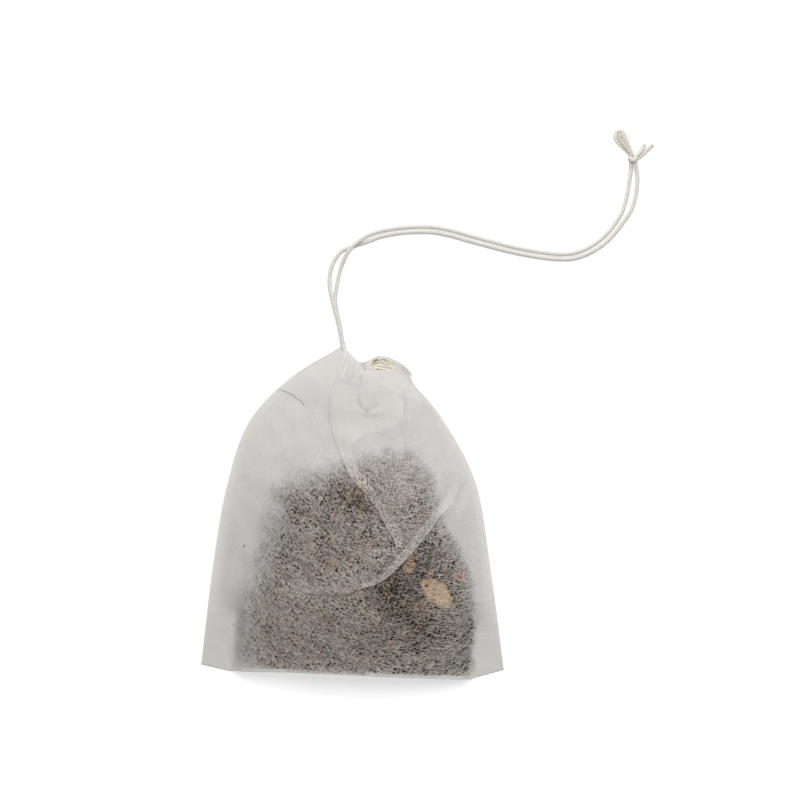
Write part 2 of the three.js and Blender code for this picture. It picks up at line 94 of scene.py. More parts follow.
def smooth_line(points: Sequence, steps: int = 24) -> np.ndarray:
    """A smooth line through points.

    Args:
        points: Places in the plane or in space.
        steps: Straight runs between two neighbouring points.

    Returns:
        The line's points, one in each row.
    """
    given = np.asarray(points, float)
    padded = np.vstack([given[:1], given, given[-1:]])
    share = np.linspace(0, 1, steps, endpoint=False)[:, None]
    spans = []
    for before, start, end, after in zip(padded, padded[1:], padded[2:], padded[3:]):
        leaving, arriving = (end - before) / 2, (after - start) / 2
        cubic = 2 * (start - end) + leaving + arriving
        square = 3 * (end - start) - 2 * leaving - arriving
        spans.append(((cubic * share + square) * share + leaving) * share + start)
    return np.vstack([*spans, given[-1:]])


def along(line: np.ndarray, share: Any) -> np.ndarray:
    """Places on a line.

    Args:
        line: The line's points, one in each row.
        share: Shares of the line's length, in an array of any shape.

    Returns:
        The places, with the coordinates on the last axis.
    """
    runs = np.linalg.norm(np.diff(line, axis=0), axis=1)
    travelled = np.concatenate([[0], np.cumsum(runs)]) / runs.sum()
    return np.stack([np.interp(share, travelled, axis) for axis in line.T], axis=-1)


def line_length(line: np.ndarray) -> float:
    """The length of a line."""
    return float(np.linalg.norm(np.diff(line, axis=0), axis=1).sum())


def distance_to(line: np.ndarray, x: np.ndarray, y: np.ndarray) -> np.ndarray:
    """Distance in plan from each place to the nearest point of a line.

    Args:
        line: The line's points in the plane.
        x: First coordinates of the places.
        y: Second coordinates of the places.

    Returns:
        The distances, in the shape of x.
    """
    place = np.stack([x, y], axis=-1)
    nearest = np.full(x.shape, np.inf)
    for start, end in zip(line, line[1:]):
        run = end - start
        share = np.clip((place - start) @ run / (run @ run), 0, 1)
        nearest = np.minimum(nearest, np.linalg.norm(place - start - share[..., None] * run, axis=-1))
    return nearest


def inside(outline: np.ndarray, x: np.ndarray, y: np.ndarray) -> np.ndarray:
    """Which places lie inside a closed outline.

    Args:
        outline: The outline's corners in the plane.
        x: First coordinates of the places.
        y: Second coordinates of the places.

    Returns:
        True for each place inside, in the shape of x.
    """
    found = np.zeros(x.shape, bool)
    for (ax, ay), (bx, by) in zip(outline, np.roll(outline, -1, axis=0)):
        crosses = (ay > y) != (by > y)
        found ^= crosses & (x < ax + (y - ay) * (bx - ax) / np.where(by == ay, 1, by - ay))
    return found


@dataclass(frozen=True)
class Ripples:
    """A smooth uneven relief, added up from plane waves."""

    height: float
    wavelength: float
    seed: int
    waves: int = 9
    spread: Point2 = (0.7, 1.5)

    def at(self, x: np.ndarray, y: np.ndarray) -> np.ndarray:
        """The relief at places of the plane.

        Args:
            x: First coordinates of the places.
            y: Second coordinates of the places.

        Returns:
            The relief, in the shape of x.
        """
        draw = np.random.default_rng(self.seed)
        relief = np.zeros(np.shape(x))
        for _ in range(self.waves):
            heading, phase = draw.uniform(0, FULL_TURN, 2)
            number = FULL_TURN / (self.wavelength * draw.uniform(*self.spread))
            relief += np.sin(number * (x * math.cos(heading) + y * math.sin(heading)) + phase)
        return self.height * (relief / math.sqrt(self.waves))


def spot(zone: Zone, x: np.ndarray, y: np.ndarray) -> np.ndarray:
    """A round swelling in plan.

    Args:
        zone: Its centre's two coordinates, its radius and its height.
        x: First coordinates of the places.
        y: Second coordinates of the places.

    Returns:
        Its height at each place, in the shape of x.
    """
    centre_x, centre_y, radius, height = zone
    return height * np.exp(-((x - centre_x) ** 2 + (y - centre_y) ** 2) / radius ** 2)


def strip_faces(rows: int, columns: int, closed: bool = False) -> np.ndarray:
    """Four-cornered faces between the points of a grid.

    Args:
        rows: Rows of points.
        columns: Points in each row.
        closed: Whether each row's end joins its start.

    Returns:
        Point numbers, four in each row.
    """
    last = columns if closed else columns - 1
    row, column = np.meshgrid(np.arange(rows - 1), np.arange(last), indexing="ij")
    after = (column + 1) % columns
    corners = [row * columns + column, row * columns + after]
    corners += [corners[1] + columns, corners[0] + columns]
    return np.stack(corners, axis=-1).reshape(-1, 4)


def capped_faces(rings: int, sides: int) -> list[Face]:
    """Faces of a body made of rings of points, with a cap on its last ring and one on its first.

    Args:
        rings: Rings of points.
        sides: Points in each ring.

    Returns:
        Point numbers of each face, the first ring's cap before the last one's.
    """
    cap = np.arange(sides)
    body = strip_faces(rings, sides, closed=True)
    return [*map(tuple, body), tuple(cap[::-1]), tuple(cap + (rings - 1) * sides)]


def link(name: str, data: Any) -> bpy.types.Object:
    """Puts a new object into the scene.

    Args:
        name: The object's name.
        data: Its mesh, camera or lamp.

    Returns:
        The object.
    """
    made = bpy.data.objects.new(name, data)
    bpy.context.scene.collection.objects.link(made)
    return made


@dataclass
class MeshParts:
    """Points and faces of one piece, gathered from several runs."""

    points: list[np.ndarray] = field(default_factory=list)
    faces: list[Face] = field(default_factory=list)
    tints: list[np.ndarray] = field(default_factory=list)
    count: int = 0

    def add(self, points: np.ndarray, faces: Sequence, tint: Any = 0.0) -> None:
        """Adds one run.

        Args:
            points: Its points, in millimetres.
            faces: Its faces, as numbers of its own points.
            tint: One shade from 0 to 1 for the run, or one for each point.
        """
        self.points.append(points)
        self.faces.extend(tuple(int(k) + self.count for k in face) for face in faces)
        self.tints.append(np.broadcast_to(tint, len(points)))
        self.count += len(points)

    def build(self, name: str, material: bpy.types.Material, smooth: bool = True) -> bpy.types.Object:
        """Makes the piece.

        Args:
            name: The piece's name.
            material: Its finish.
            smooth: Whether its faces are shaded as one smooth surface.

        Returns:
            The new object, riding on the bag.
        """
        mesh = bpy.data.meshes.new(name)
        mesh.from_pydata(np.vstack(self.points) * MM, [], self.faces)
        shade = mesh.attributes.new("tint", "FLOAT", "POINT")
        shade.data.foreach_set("value", np.concatenate(self.tints).astype(np.float32))
        mesh.polygons.foreach_set("use_smooth", np.full(len(mesh.polygons), smooth))
        mesh.materials.append(material)
        mesh.update()
        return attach(link(name, mesh), "root")


# Finishes


def operator(operation: str, reflected: bool = False) -> Callable[["Socket", Any], "Socket"]:
    """A method for one of Python's operators on sockets.

    Args:
        operation: The Math node's operation.
        reflected: Whether the socket stands on the operator's right.

    Returns:
        The method.
    """

    def method(socket: "Socket", other: Any) -> "Socket":
        """Adds the Math node."""
        return socket.math(operation, *((other, socket) if reflected else (socket, other)))

    return method


class Socket:
    """A node's output. Python's operators on it add Math nodes."""

    __add__, __radd__ = operator("ADD"), operator("ADD", reflected=True)
    __sub__, __rsub__ = operator("SUBTRACT"), operator("SUBTRACT", reflected=True)
    __mul__, __rmul__ = operator("MULTIPLY"), operator("MULTIPLY", reflected=True)
    __truediv__, __rtruediv__ = operator("DIVIDE"), operator("DIVIDE", reflected=True)
    __pow__, __rpow__ = operator("POWER"), operator("POWER", reflected=True)
    least, most = operator("MINIMUM"), operator("MAXIMUM")

    def __init__(self, tree: "NodeTree", source: Any) -> None:
        """Keeps the output and the tree that it is in."""
        self.tree = tree
        self.source = source

    def math(self, operation: str, *values: Any) -> "Socket":
        """A Math node's result on these values, this one among them."""
        return self.tree.node("ShaderNodeMath", {"operation": operation}, dict(enumerate(values)))

    def ridge(self) -> "Socket":
        """1 along the line where a noise passes its middle, and less on both sides of it."""
        return 1 - self.math("ABSOLUTE", self - 0.5) * 2

    def rise(self, low: float, high: float, start: float = 0.0, end: float = 1.0) -> "Socket":
        """A smooth change from start to end while this value goes from low to high."""
        inputs = {"Value": self, "From Min": low, "From Max": high, "To Min": start, "To Max": end}
        return self.tree.node("ShaderNodeMapRange", {"interpolation_type": "SMOOTHSTEP"}, inputs)


class NodeTree:
    """The shader nodes of a material or of the world."""

    def __init__(self, owner: Any) -> None:
        """Starts with an empty tree.

        Args:
            owner: The material or world that has it.
        """
        owner.use_nodes = True
        self.tree = owner.node_tree
        self.tree.nodes.clear()

    def node(self, kind: str, settings: dict | None = None, inputs: dict | None = None,
             out: int | str = 0) -> Socket:
        """Adds one node.

        Args:
            kind: The node's type.
            settings: Its own settings, set first. "stops" are a ramp's places and colours.
            inputs: Values or sockets for its inputs, by name or number.
            out: The output that is wanted, by name or number.

        Returns:
            That output, or an empty socket from a node that has none.
        """
        made = self.tree.nodes.new(kind)
        for name, value in (settings or {}).items():
            if name == "stops":
                self._set_stops(made.color_ramp, value)
            else:
                setattr(made, name, value)
        for name, value in (inputs or {}).items():
            if isinstance(value, Socket):
                self.tree.links.new(value.source, made.inputs[name])
            else:
                made.inputs[name].default_value = value
        return Socket(self, made.outputs[out] if made.outputs else None)

    @staticmethod
    def _set_stops(ramp: bpy.types.ColorRamp, stops: Stops) -> None:
        """Gives a ramp its places and colours.

        Args:
            ramp: The ramp.
            stops: Its places and their colours, in order.
        """
        while len(ramp.elements) < len(stops):
            ramp.elements.new(1.0)
        for element, (place, colour) in zip(ramp.elements, stops):
            element.position = place
            element.color = (*colour, 1.0)


class Finish(NodeTree):
    """The node tree of one material."""

    def __init__(self, name: str) -> None:
        """Starts an empty material."""
        self.material = bpy.data.materials.new(name)
        super().__init__(self.material)

    def mix(self, share: float | Socket, first: Any, second: Any) -> Socket:
        """A colour between two colours.

        Args:
            share: How much of the second.
            first: A colour or a socket.
            second: A colour or a socket.

        Returns:
            The mixed colour.
        """
        colours = [c if isinstance(c, Socket) else (*c, 1.0) for c in (first, second)]
        # A Mix node takes its two colours in sockets 6 and 7, and gives their mix in output 2.
        inputs = {0: share, 6: colours[0], 7: colours[1]}
        return self.node("ShaderNodeMix", {"data_type": "RGBA"}, inputs, out=2)

    def noise(self, place: Socket, scale: float, detail: float = 2.0) -> Socket:
        """Uneven values about a place, with patches of about one over scale."""
        return self.node("ShaderNodeTexNoise", {}, {"Vector": place, "Scale": scale, "Detail": detail})

    def object_place(self) -> Socket:
        """The place on the piece, in metres."""
        return self.node("ShaderNodeTexCoord", out="Object")

    def shade(self, name: str) -> Socket:
        """A value that each point of the mesh has, by its name."""
        return self.node("ShaderNodeAttribute", {"attribute_name": name}, out="Fac")

    def bump(self, height: Socket, depth: float, strength: float) -> Socket:
        """A surface direction for a relief of that depth, in metres."""
        return self.node("ShaderNodeBump", {}, {"Height": height, "Distance": depth, "Strength": strength})

    def surface(self, shader: Socket) -> bpy.types.Material:
        """Ends the tree in this shader and gives the material."""
        self.node("ShaderNodeOutputMaterial", {}, {"Surface": shader})
        return self.material


@dataclass(frozen=True)
class FilterPaper:
    """Thin felted filter paper that lets most of the light through, with pores that show over tea.

    Its patterns are in the sheet's own map, which is in millimetres.
    """

    colour: Colour = (0.955, 0.93, 0.905)
    cloudy_colour: Colour = (0.935, 0.908, 0.88)
    # Partly a tea-dust stain and partly painted shade from the tea behind the sheet.
    tea_stain_and_painted_shade_colour: Colour = (0.86, 0.75, 0.655)
    through_colour: Colour = (0.975, 0.955, 0.93)
    through_shares: Point2 = (0.42, 0.83)
    through_limit: float = 0.93
    through_power: float = 0.6
    roughness: float = 0.92
    specular: float = 0.1
    relief_depth: float = 0.00005
    relief_strength: float = 0.35
    felt_scales: Point3 = (0.55, 1.1, 1.0)
    felt_edges: Point2 = (0.72, 1.0)
    felt_covers: Point2 = (0.6, 0.4)
    felt_height: float = 0.8
    fibre_share: float = 0.3
    slack_fibres: float = 0.25
    cloud_scale: float = 0.14
    cloud_edges: Point2 = (0.35, 0.7)
    pore_axis: Point2 = (0.89, 0.45)
    pore_cell: Point2 = (0.87, 0.57)
    pore_sizes: Point2 = (0.08, 0.45)
    pore_bends: Point2 = (0.4, 0.6)
    pore_scatter: float = 0.7
    pore_growth: float = 0.1
    pore_depth: float = 0.5
    pore_power: float = 0.8
    bend_scale: float = 1.3
    patch_scale: float = 0.24
    patch_edges: Point2 = (0.36, 0.66)
    least_clear: float = 0.2
    even_clear: float = 0.35
    chance_clear: float = 1.2
    covered_touch: tuple[float, ...] = (1.2, 2.8, 0.0, 0.5)

    def material(self) -> bpy.types.Material:
        """Makes the finish.

        Returns:
            The material.
        """
        paper = Finish("filter_paper")
        flat = paper.node("ShaderNodeUVMap", {"uv_map": "weave"})
        touch = paper.shade("touch")
        place = self._slanted(paper, flat)
        open_share = self._pores(paper, flat, place) * touch ** self.pore_power
        open_share = open_share + touch.rise(*self.covered_touch)

        scaling = {0: place, 1: self.felt_scales}
        drawn_out = paper.node("ShaderNodeVectorMath", {"operation": "MULTIPLY"}, scaling)
        felt = paper.noise(drawn_out, scale=1.0, detail=1.0).ridge().rise(*self.felt_edges)
        clouds = paper.noise(flat, self.cloud_scale, detail=3.0).rise(*self.cloud_edges)
        over_clouds, over_stain_and_shade = self.felt_covers
        colour = paper.mix(clouds * (1 - felt * over_clouds), self.colour, self.cloudy_colour)
        # Where the tea touches, the paper turns browner: partly a tea-dust stain and partly painted shade,
        # the brown darkening that the tea behind the sheet gives it.
        colour = paper.mix(touch * (1 - felt * over_stain_and_shade), colour, self.tea_stain_and_painted_shade_colour)
        height = felt * self.felt_height - open_share * self.pore_depth
        normal = paper.bump(height, self.relief_depth, self.relief_strength)

        skin = {"Base Color": colour, "Roughness": self.roughness, "Normal": normal}
        skin["Specular IOR Level"] = self.specular
        front = paper.node("ShaderNodeBsdfPrincipled", {}, skin)
        back = {"Color": (*self.through_colour, 1.0), "Normal": normal}
        through = paper.node("ShaderNodeBsdfTranslucent", {}, back)
        pressed = touch ** self.through_power
        fibres = self.slack_fibres + pressed.least(1.0) * (1 - self.slack_fibres)
        low, high = self.through_shares
        through_share = (low + pressed * (high - low)).least(self.through_limit)
        through_share = through_share - felt * fibres * self.fibre_share
        sheet = paper.node("ShaderNodeMixShader", {}, {0: through_share, 1: front, 2: through})
        gap = paper.node("ShaderNodeBsdfTransparent")
        return paper.surface(paper.node("ShaderNodeMixShader", {}, {0: open_share, 1: sheet, 2: gap}))

    def _slanted(self, paper: Finish, flat: Socket) -> Socket:
        """The sheet's map turned along the pores, in cells, and bent a little.

        Args:
            paper: The paper's node tree.
            flat: The sheet's map.

        Returns:
            The turned map.
        """
        x, y = (paper.node("ShaderNodeSeparateXYZ", {}, {0: flat}, axis) for axis in "XY")
        cos, sin = self.pore_axis
        bend = paper.noise(flat, self.bend_scale, detail=1.0)
        along_pore = (x * cos + y * sin) / self.pore_cell[0] + bend * self.pore_bends[0]
        across_pore = (y * cos - x * sin) / self.pore_cell[1] - bend * self.pore_bends[1]
        return paper.node("ShaderNodeCombineXYZ", {}, {"X": along_pore, "Y": across_pore})

    def _pores(self, paper: Finish, flat: Socket, place: Socket) -> Socket:
        """Slanting oval pores in uneven rows, a few of them clear and most half closed.

        Args:
            paper: The paper's node tree.
            flat: The sheet's map.
            place: The map turned along the pores.

        Returns:
            How open the sheet is.
        """
        cells = {"Vector": place, "Scale": 1.0, "Randomness": self.pore_scatter}
        distance, chance = (
            paper.node("ShaderNodeTexVoronoi", {"voronoi_dimensions": "2D"}, cells, out)
            for out in ("Distance", "Color"))
        chance = paper.node("ShaderNodeSeparateXYZ", {}, {0: chance}, "X")
        patchy = paper.noise(flat, self.patch_scale, detail=2.5).rise(*self.patch_edges)
        even = self.even_clear
        clear = (even + patchy * (1 - even)) * (even + chance * chance * chance * self.chance_clear)
        pores = (distance - chance * self.pore_growth).rise(*self.pore_sizes, 1.0, 0.0)
        return pores * (self.least_clear + clear)


@dataclass(frozen=True)
class DriedLeaf:
    """Dried leaf of mixed shades, dull and finely wrinkled."""

    name: str
    stops: Stops
    roughness: float = 0.85
    specular: float = 0.3
    grain: float = 2600.0
    mottling: float = 0.22
    relief_depth: float = 0.00012
    relief_strength: float = 0.8

    def material(self) -> bpy.types.Material:
        """Makes the finish from the shade of each flake.

        Returns:
            The material.
        """
        leaf = Finish(self.name)
        mottle = leaf.noise(leaf.object_place(), self.grain, detail=4.0)
        shade = leaf.shade("tint") + (mottle - 0.5) * self.mottling
        colour = leaf.node("ShaderNodeValToRGB", {"stops": self.stops}, {"Fac": shade}, "Color")
        normal = leaf.bump(mottle, self.relief_depth, self.relief_strength)
        skin = {"Base Color": colour, "Roughness": self.roughness, "Normal": normal}
        skin["Specular IOR Level"] = self.specular
        return leaf.surface(leaf.node("ShaderNodeBsdfPrincipled", {}, skin))


@dataclass(frozen=True)
class TwistedCotton:
    """Natural cotton thread, with painted shade that greys it in the grooves between its plies."""

    name: str = "twisted_cotton"
    colour: Colour = (0.82, 0.79, 0.735)
    # Painted shade in the grooves between the plies.
    painted_groove_shade: Colour = (0.66, 0.61, 0.53)
    roughness: float = 0.9
    specular: float = 0.15
    sheen: float = 0.25
    sheen_roughness: float = 0.6
    ply_share: float = 0.8
    fibre_scale: float = 5200.0
    fibre_share: float = 0.45
    patch_scale: float = 420.0
    patch_share: float = 0.18
    patch_edges: Point2 = (0.45, 0.7)
    groove_edges: Point2 = (0.1, 0.9)
    relief_depth: float = 0.00008
    relief_strength: float = 0.7

    def material(self) -> bpy.types.Material:
        """Makes the finish from the shade of each point, which is 1 on the outside of a ply and falls
        towards the grooves, where painted shade greys the thread.

        Returns:
            The material.
        """
        cotton = Finish(self.name)
        place = cotton.object_place()
        fibres = cotton.noise(place, self.fibre_scale, detail=3.0)
        patches = cotton.noise(place, self.patch_scale).rise(*self.patch_edges)
        raised = cotton.shade("tint") * self.ply_share + fibres * self.fibre_share
        raised = (raised - patches * self.patch_share).rise(*self.groove_edges)
        # Painted shade: the thread turns to the groove colour where the ply faces inward.
        colour = cotton.mix(raised, self.painted_groove_shade, self.colour)
        normal = cotton.bump(fibres, self.relief_depth, self.relief_strength)
        skin = {"Base Color": colour, "Roughness": self.roughness, "Normal": normal}
        skin["Specular IOR Level"] = self.specular
        skin |= {"Sheen Weight": self.sheen, "Sheen Roughness": self.sheen_roughness}
        return cotton.surface(cotton.node("ShaderNodeBsdfPrincipled", {}, skin))


@dataclass(frozen=True)
class WhiteTable:
    """A plain pale table top that the camera sees as white, with the bag's shadow on it.

    Light that has come through the paper isn't lifted, because that would light the bag from below.
    """

    colour: Colour = (0.78, 0.78, 0.78)
    lift: float = 0.55

    def material(self) -> bpy.types.Material:
        """Makes the finish.

        Returns:
            The material.
        """
        table = Finish("white_table")
        rays = ("Is Camera Ray", "Is Glossy Ray")
        seen, mirrored = (table.node("ShaderNodeLightPath", out=ray) for ray in rays)
        top = table.node("ShaderNodeBsdfDiffuse", {}, {"Color": (*self.colour, 1.0)})
        glow = table.node("ShaderNodeEmission", {}, {"Strength": seen.most(mirrored) * self.lift})
        return table.surface(table.node("ShaderNodeAddShader", {}, {0: top, 1: glow}))


# Studio


@dataclass
class Studio:
    """Camera straight above the table, soft light from over the bag's neck, and the table."""

    view_centre: Point2 = (11.0, 26.2)
    view_width: float = 185.2
    camera_height: float = 800.0
    camera_range: float = 50000.0
    sensor: float = 36.0
    world_level: float = 0.33
    key_place: Point3 = (50.0, 265.0, 360.0)
    key_size: float = 480.0
    key_power: float = 1.85
    table_size: float = 6000.0

    def build(self) -> None:
        """Makes the camera, the lamp, the world and the table."""
        self._camera()
        self._lamp()
        self._world()
        self._table()
        bpy.context.scene.view_settings.view_transform = "Standard"

    def _camera(self) -> None:
        """Looks straight down, with the neck towards the top of the picture."""
        data = bpy.data.cameras.new("camera")
        data.sensor_width = self.sensor
        data.lens = self.sensor * self.camera_height / self.view_width
        data.clip_end = self.camera_range * MM
        camera = link("camera", data)
        camera.location = Vector((*self.view_centre, self.camera_height)) * MM
        bpy.context.scene.camera = camera

    def _lamp(self) -> None:
        """Hangs one large soft lamp beyond the neck, aimed at the bag."""
        data = bpy.data.lights.new("key_lamp", "AREA")
        data.shape = "DISK"
        data.size = self.key_size * MM
        data.energy = self.key_power
        lamp = link("key_lamp", data)
        lamp.location = Vector(self.key_place) * MM
        lamp.rotation_euler = (-lamp.location).to_track_quat("-Z", "Y").to_euler()

    def _world(self) -> None:
        """Lights everything evenly from all round, and shows white behind the table."""
        world = bpy.data.worlds.new("studio")
        nodes = NodeTree(world)
        seen = nodes.node("ShaderNodeLightPath", out="Is Camera Ray")
        levels = {"Value": seen, "To Min": self.world_level, "To Max": 1.0}
        level = nodes.node("ShaderNodeMapRange", {}, levels)
        sky = nodes.node("ShaderNodeBackground", {}, {"Strength": level})
        nodes.node("ShaderNodeOutputWorld", {}, {"Surface": sky})
        bpy.context.scene.world = world

    def _table(self) -> None:
        """Lays the table top just under the bag."""
        half = self.table_size * MM / 2
        corners = [(-half, -half, 0), (half, -half, 0), (half, half, 0), (-half, half, 0)]
        mesh = bpy.data.meshes.new("table")
        mesh.from_pydata(corners, [], [(0, 1, 2, 3)])
        mesh.materials.append(WhiteTable().material())
        link("table", mesh)


# Shape of the bag


@dataclass
class BagShape:
    """The bag as it lies: its outlines in plan and the heights of its panels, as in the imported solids."""

    width: float
    bottom: float
    top: float
    tip_rises: Point2 = (3.4, 2.1)
    tip_runs: Point2 = (6.4, 7.8)
    bottom_slant: float = 1.9
    fold_rises: Sequence[Point2] = ((0.25, 0.5), (0.5, 0.45), (0.75, 0.2))
    neck_ends: Point2 = (-2.9, 13.9)
    shoulder_drop: float = 6.2
    neck_profile: Sequence[Point2] = ((0.11, 0.8), (0.29, 3.5), (0.56, 2.0), (0.83, 3.6))
    left_shares: Sequence[Point2] = (
        (0, 0), (0.327, 0.093), (0.556, 0.184), (0.757, 0.336), (0.898, 0.626), (1, 1))
    right_shares: Sequence[Point2] = (
        (0, 0), (0.334, 0.142), (0.632, 0.308), (0.848, 0.668), (0.966, 0.983), (1, 1))
    search_steps: int = 12
    search_pace: float = 0.9
    seam_height: float = 1.3
    seam_span: Point2 = (0, 0.25)
    corner_seam_share: float = 0.09
    weld_width: float = 2.0
    weld_gap: float = 0.12
    edge_height: float = 6.85
    fill_height: float = 9.65
    fill_span: Point2 = (0, 0.22)
    slack_height: float = 5.85
    slack_span: Point2 = (0.4, 0.75)
    neck_height: float = 5.45
    neck_span: Point2 = (0.85, 1)
    back_height_low: float = 0.08
    back_lift_span: Point2 = (0.78, 1)
    gusset_depth: float = 11.8
    gusset_fade: Point2 = (-1.0, 6.0)
    corner_fade: float = 3.6
    gather_count: int = 6
    gather_height: float = 0.3
    gather_span: Point2 = (0.9, 1)
    gather_fade: float = 0.8
    gather_fade_span: Point2 = (0.45, 0.75)
    fine_gathers: float = 2.7
    fine_gather_slant: float = 1.6
    fine_gather_share: float = 0.35
    fine_gather_span: Point2 = (0.8, 1)
    crumple_height: float = 0.16
    crumples: Sequence[Ripples] = (Ripples(1.0, 11.0, 3), Ripples(0.5, 4.5, 4))
    uneven_rim: float = 0.3
    stack_height: float = 0.7
    stack_left: Sequence[Point2] = (
        (0.22, 0.42), (0.33, 0.55), (0.392, 0.648), (0.514, 0.547), (0.654, 0.417), (0.782, 0.326),
        (1, 0.22))
    stack_right: Sequence[Point2] = (
        (0.22, 0.5), (0.285, 0.621), (0.355, 0.705), (0.467, 0.814), (0.6, 0.945), (1, 1.0))
    stack_left_rise: Point2 = (-0.03, 0.09)
    stack_right_fall: Point2 = (-0.1, 0.03)
    stack_span: Point2 = (0.22, 0.36)

    @classmethod
    def from_frame(cls) -> "BagShape":
        """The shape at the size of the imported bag."""
        low, high = (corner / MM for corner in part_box("filter_bag"))
        return cls(width=high.x - low.x, bottom=low.y, top=high.y)

    def __post_init__(self) -> None:
        """Draws the four outlines."""
        half = self.width / 2
        left_rise, right_rise = self.tip_rises
        left_run, right_run = self.tip_runs
        self.corners = np.array([
            [[-half, self.bottom + left_rise], [half, self.bottom + right_rise]],
            [[self.neck_ends[0], self.top], [self.neck_ends[1], self.top - self.shoulder_drop]],
        ])
        self.left = self._side(self.left_shares, *self.corners[:, 0])
        self.right = self._side(self.right_shares, *self.corners[:, 1])
        fold = [(-half + left_run, self.bottom + self.bottom_slant), (half - right_run, self.bottom)]
        sag = [(lerp(fold[0][0], fold[1][0], share), lerp(fold[0][1], fold[1][1], share) + rise)
               for share, rise in self.fold_rises]
        self.bottom_line = np.array([self.corners[0, 0], fold[0], *sag, fold[1], self.corners[0, 1]])
        between = [(lerp(*self.neck_ends, share), self.top - drop) for share, drop in self.neck_profile]
        self.neck_line = smooth_line([self.corners[1, 0], *between, self.corners[1, 1]])

    @staticmethod
    def _side(shares: Sequence[Point2], corner: np.ndarray, neck: np.ndarray) -> np.ndarray:
        """A side outline from shares of the way up and of the way in."""
        return smooth_line(lerp(corner, neck, np.array(shares)[:, ::-1]))

    def plan(self, across: np.ndarray, up: np.ndarray) -> np.ndarray:
        """Places on the bag seen from above, blended from its four outlines.

        Args:
            across: Shares of the way from the left side to the right one.
            up: Shares of the way from the bottom to the neck.

        Returns:
            The places in the plane.
        """
        across, up = np.broadcast_arrays(np.asarray(across, float), np.asarray(up, float))
        a, u = across[..., None], up[..., None]
        sides = lerp(along(self.left, up), along(self.right, up), a)
        ends = lerp(along(self.bottom_line, across), along(self.neck_line, across), u)
        low, high = (lerp(pair[0], pair[1], a) for pair in self.corners)
        return sides + ends - lerp(low, high, u)

    def row_width(self, up: float) -> float:
        """The bag's width at a share of the way up."""
        return float(np.linalg.norm(along(self.left, up) - along(self.right, up)))

    def locate(self, x: np.ndarray, y: np.ndarray) -> tuple[np.ndarray, np.ndarray]:
        """Finds where on the bag places of the plane lie.

        Args:
            x: First coordinates.
            y: Second coordinates.

        Returns:
            Their shares across and up.
        """
        across = np.full(np.shape(x), 0.5)
        up = np.clip((y - self.bottom) / (self.top - self.bottom), 0, 1)
        for _ in range(self.search_steps):
            place = self.plan(across, up)
            widths = np.linalg.norm(along(self.left, up) - along(self.right, up), axis=-1)
            across = np.clip(across + self.search_pace * (x - place[..., 0]) / widths, 0, 1)
            up = np.clip(up + self.search_pace * (y - place[..., 1]) / (self.top - self.bottom), 0, 1)
        return across, up

    def crown(self, up: np.ndarray) -> np.ndarray:
        """Height of the front panel along its middle.

        Args:
            up: Shares up the bag.

        Returns:
            Heights above the table.
        """
        filled = lerp(self.edge_height, self.fill_height, smoothstep(up, *self.fill_span))
        slack = lerp(filled, self.slack_height, smoothstep(up, *self.slack_span))
        return lerp(slack, self.neck_height, smoothstep(up, *self.neck_span))

    def gather(self, across: np.ndarray, up: np.ndarray) -> np.ndarray:
        """Pleats that the drawn string makes at the neck.

        Args:
            across: Shares across the bag.
            up: Shares up the bag.

        Returns:
            How far they lift the paper.
        """
        wave = np.cos(FULL_TURN * self.gather_count * across)
        fine = self.fine_gathers * self.gather_count * across + self.fine_gather_slant * up
        middle = 1 - (2 * across - 1) ** 2
        middle = middle * (1 - self.gather_fade * smoothstep(across, *self.gather_fade_span))
        broad = self.gather_height * smoothstep(up, *self.gather_span) * wave
        small = self.fine_gather_share * self.gather_height * smoothstep(up, *self.fine_gather_span)
        return middle * (broad + small * np.sin(FULL_TURN * fine))

    def stack(self, across: np.ndarray, up: np.ndarray) -> np.ndarray:
        """How far the folded layers push the front up between the tongue's edge and the tuck's.

        Args:
            across: Shares across the bag.
            up: Shares up the bag.

        Returns:
            How far they lift the paper.
        """
        left, right = (np.interp(up, *zip(*line)) for line in (self.stack_left, self.stack_right))
        between = smoothstep(across - left, *self.stack_left_rise)
        between = between * (1 - smoothstep(across - right, *self.stack_right_fall))
        return self.stack_height * between * smoothstep(up, *self.stack_span)

    def crumple(self, x: np.ndarray, y: np.ndarray) -> np.ndarray:
        """Slight unevenness of paper that has been handled."""
        return self.crumple_height * sum(ripples.at(x, y) for ripples in self.crumples)

    def reach(self, across: np.ndarray) -> np.ndarray:
        """Share of the way from the bag's middle to the flat part at its sides."""
        return np.clip(np.abs(2 * across - 1) / (1 - 2 * self.weld_width / self.width), 0, 1)

    def corner(self, across: np.ndarray, up: np.ndarray) -> np.ndarray:
        """How far each place belongs to the flat bottom corners, where the gusset is tucked in.

        Args:
            across: Shares across the bag.
            up: Shares up the bag.

        Returns:
            1 in the corners, and 0 away from them.
        """
        from_side = np.minimum(across, 1 - across) * self.width
        from_bottom = up * (self.top - self.bottom)
        beside = 1 - smoothstep(from_side, self.tip_runs[0], self.tip_runs[0] + self.corner_fade)
        low, high = (self.gusset_depth + change for change in self.gusset_fade)
        return beside * (1 - smoothstep(from_bottom, low, high))

    def seam_level(self, up: np.ndarray) -> np.ndarray:
        """Height of the side seams, which come down to the table at the bottom corners."""
        return self.seam_height * lerp(self.corner_seam_share, 1, smoothstep(up, *self.seam_span))

    def front_height(self, across: np.ndarray, up: np.ndarray) -> np.ndarray:
        """Height of the lowest layer of the front panel.

        Args:
            across: Shares across the bag.
            up: Shares up the bag.

        Returns:
            Heights above the table.
        """
        seam = self.seam_level(up) + self.weld_gap / 2
        bulge = (1 - self.reach(across) ** 2) * (1 - self.corner(across, up))
        place = self.plan(across, up)
        uneven = self.crumple(place[..., 0], place[..., 1]) + self.stack(across, up)
        uneven = uneven * smoothstep(bulge, 0, self.uneven_rim)
        return lerp(seam, self.crown(up), bulge) + self.gather(across, up) + uneven

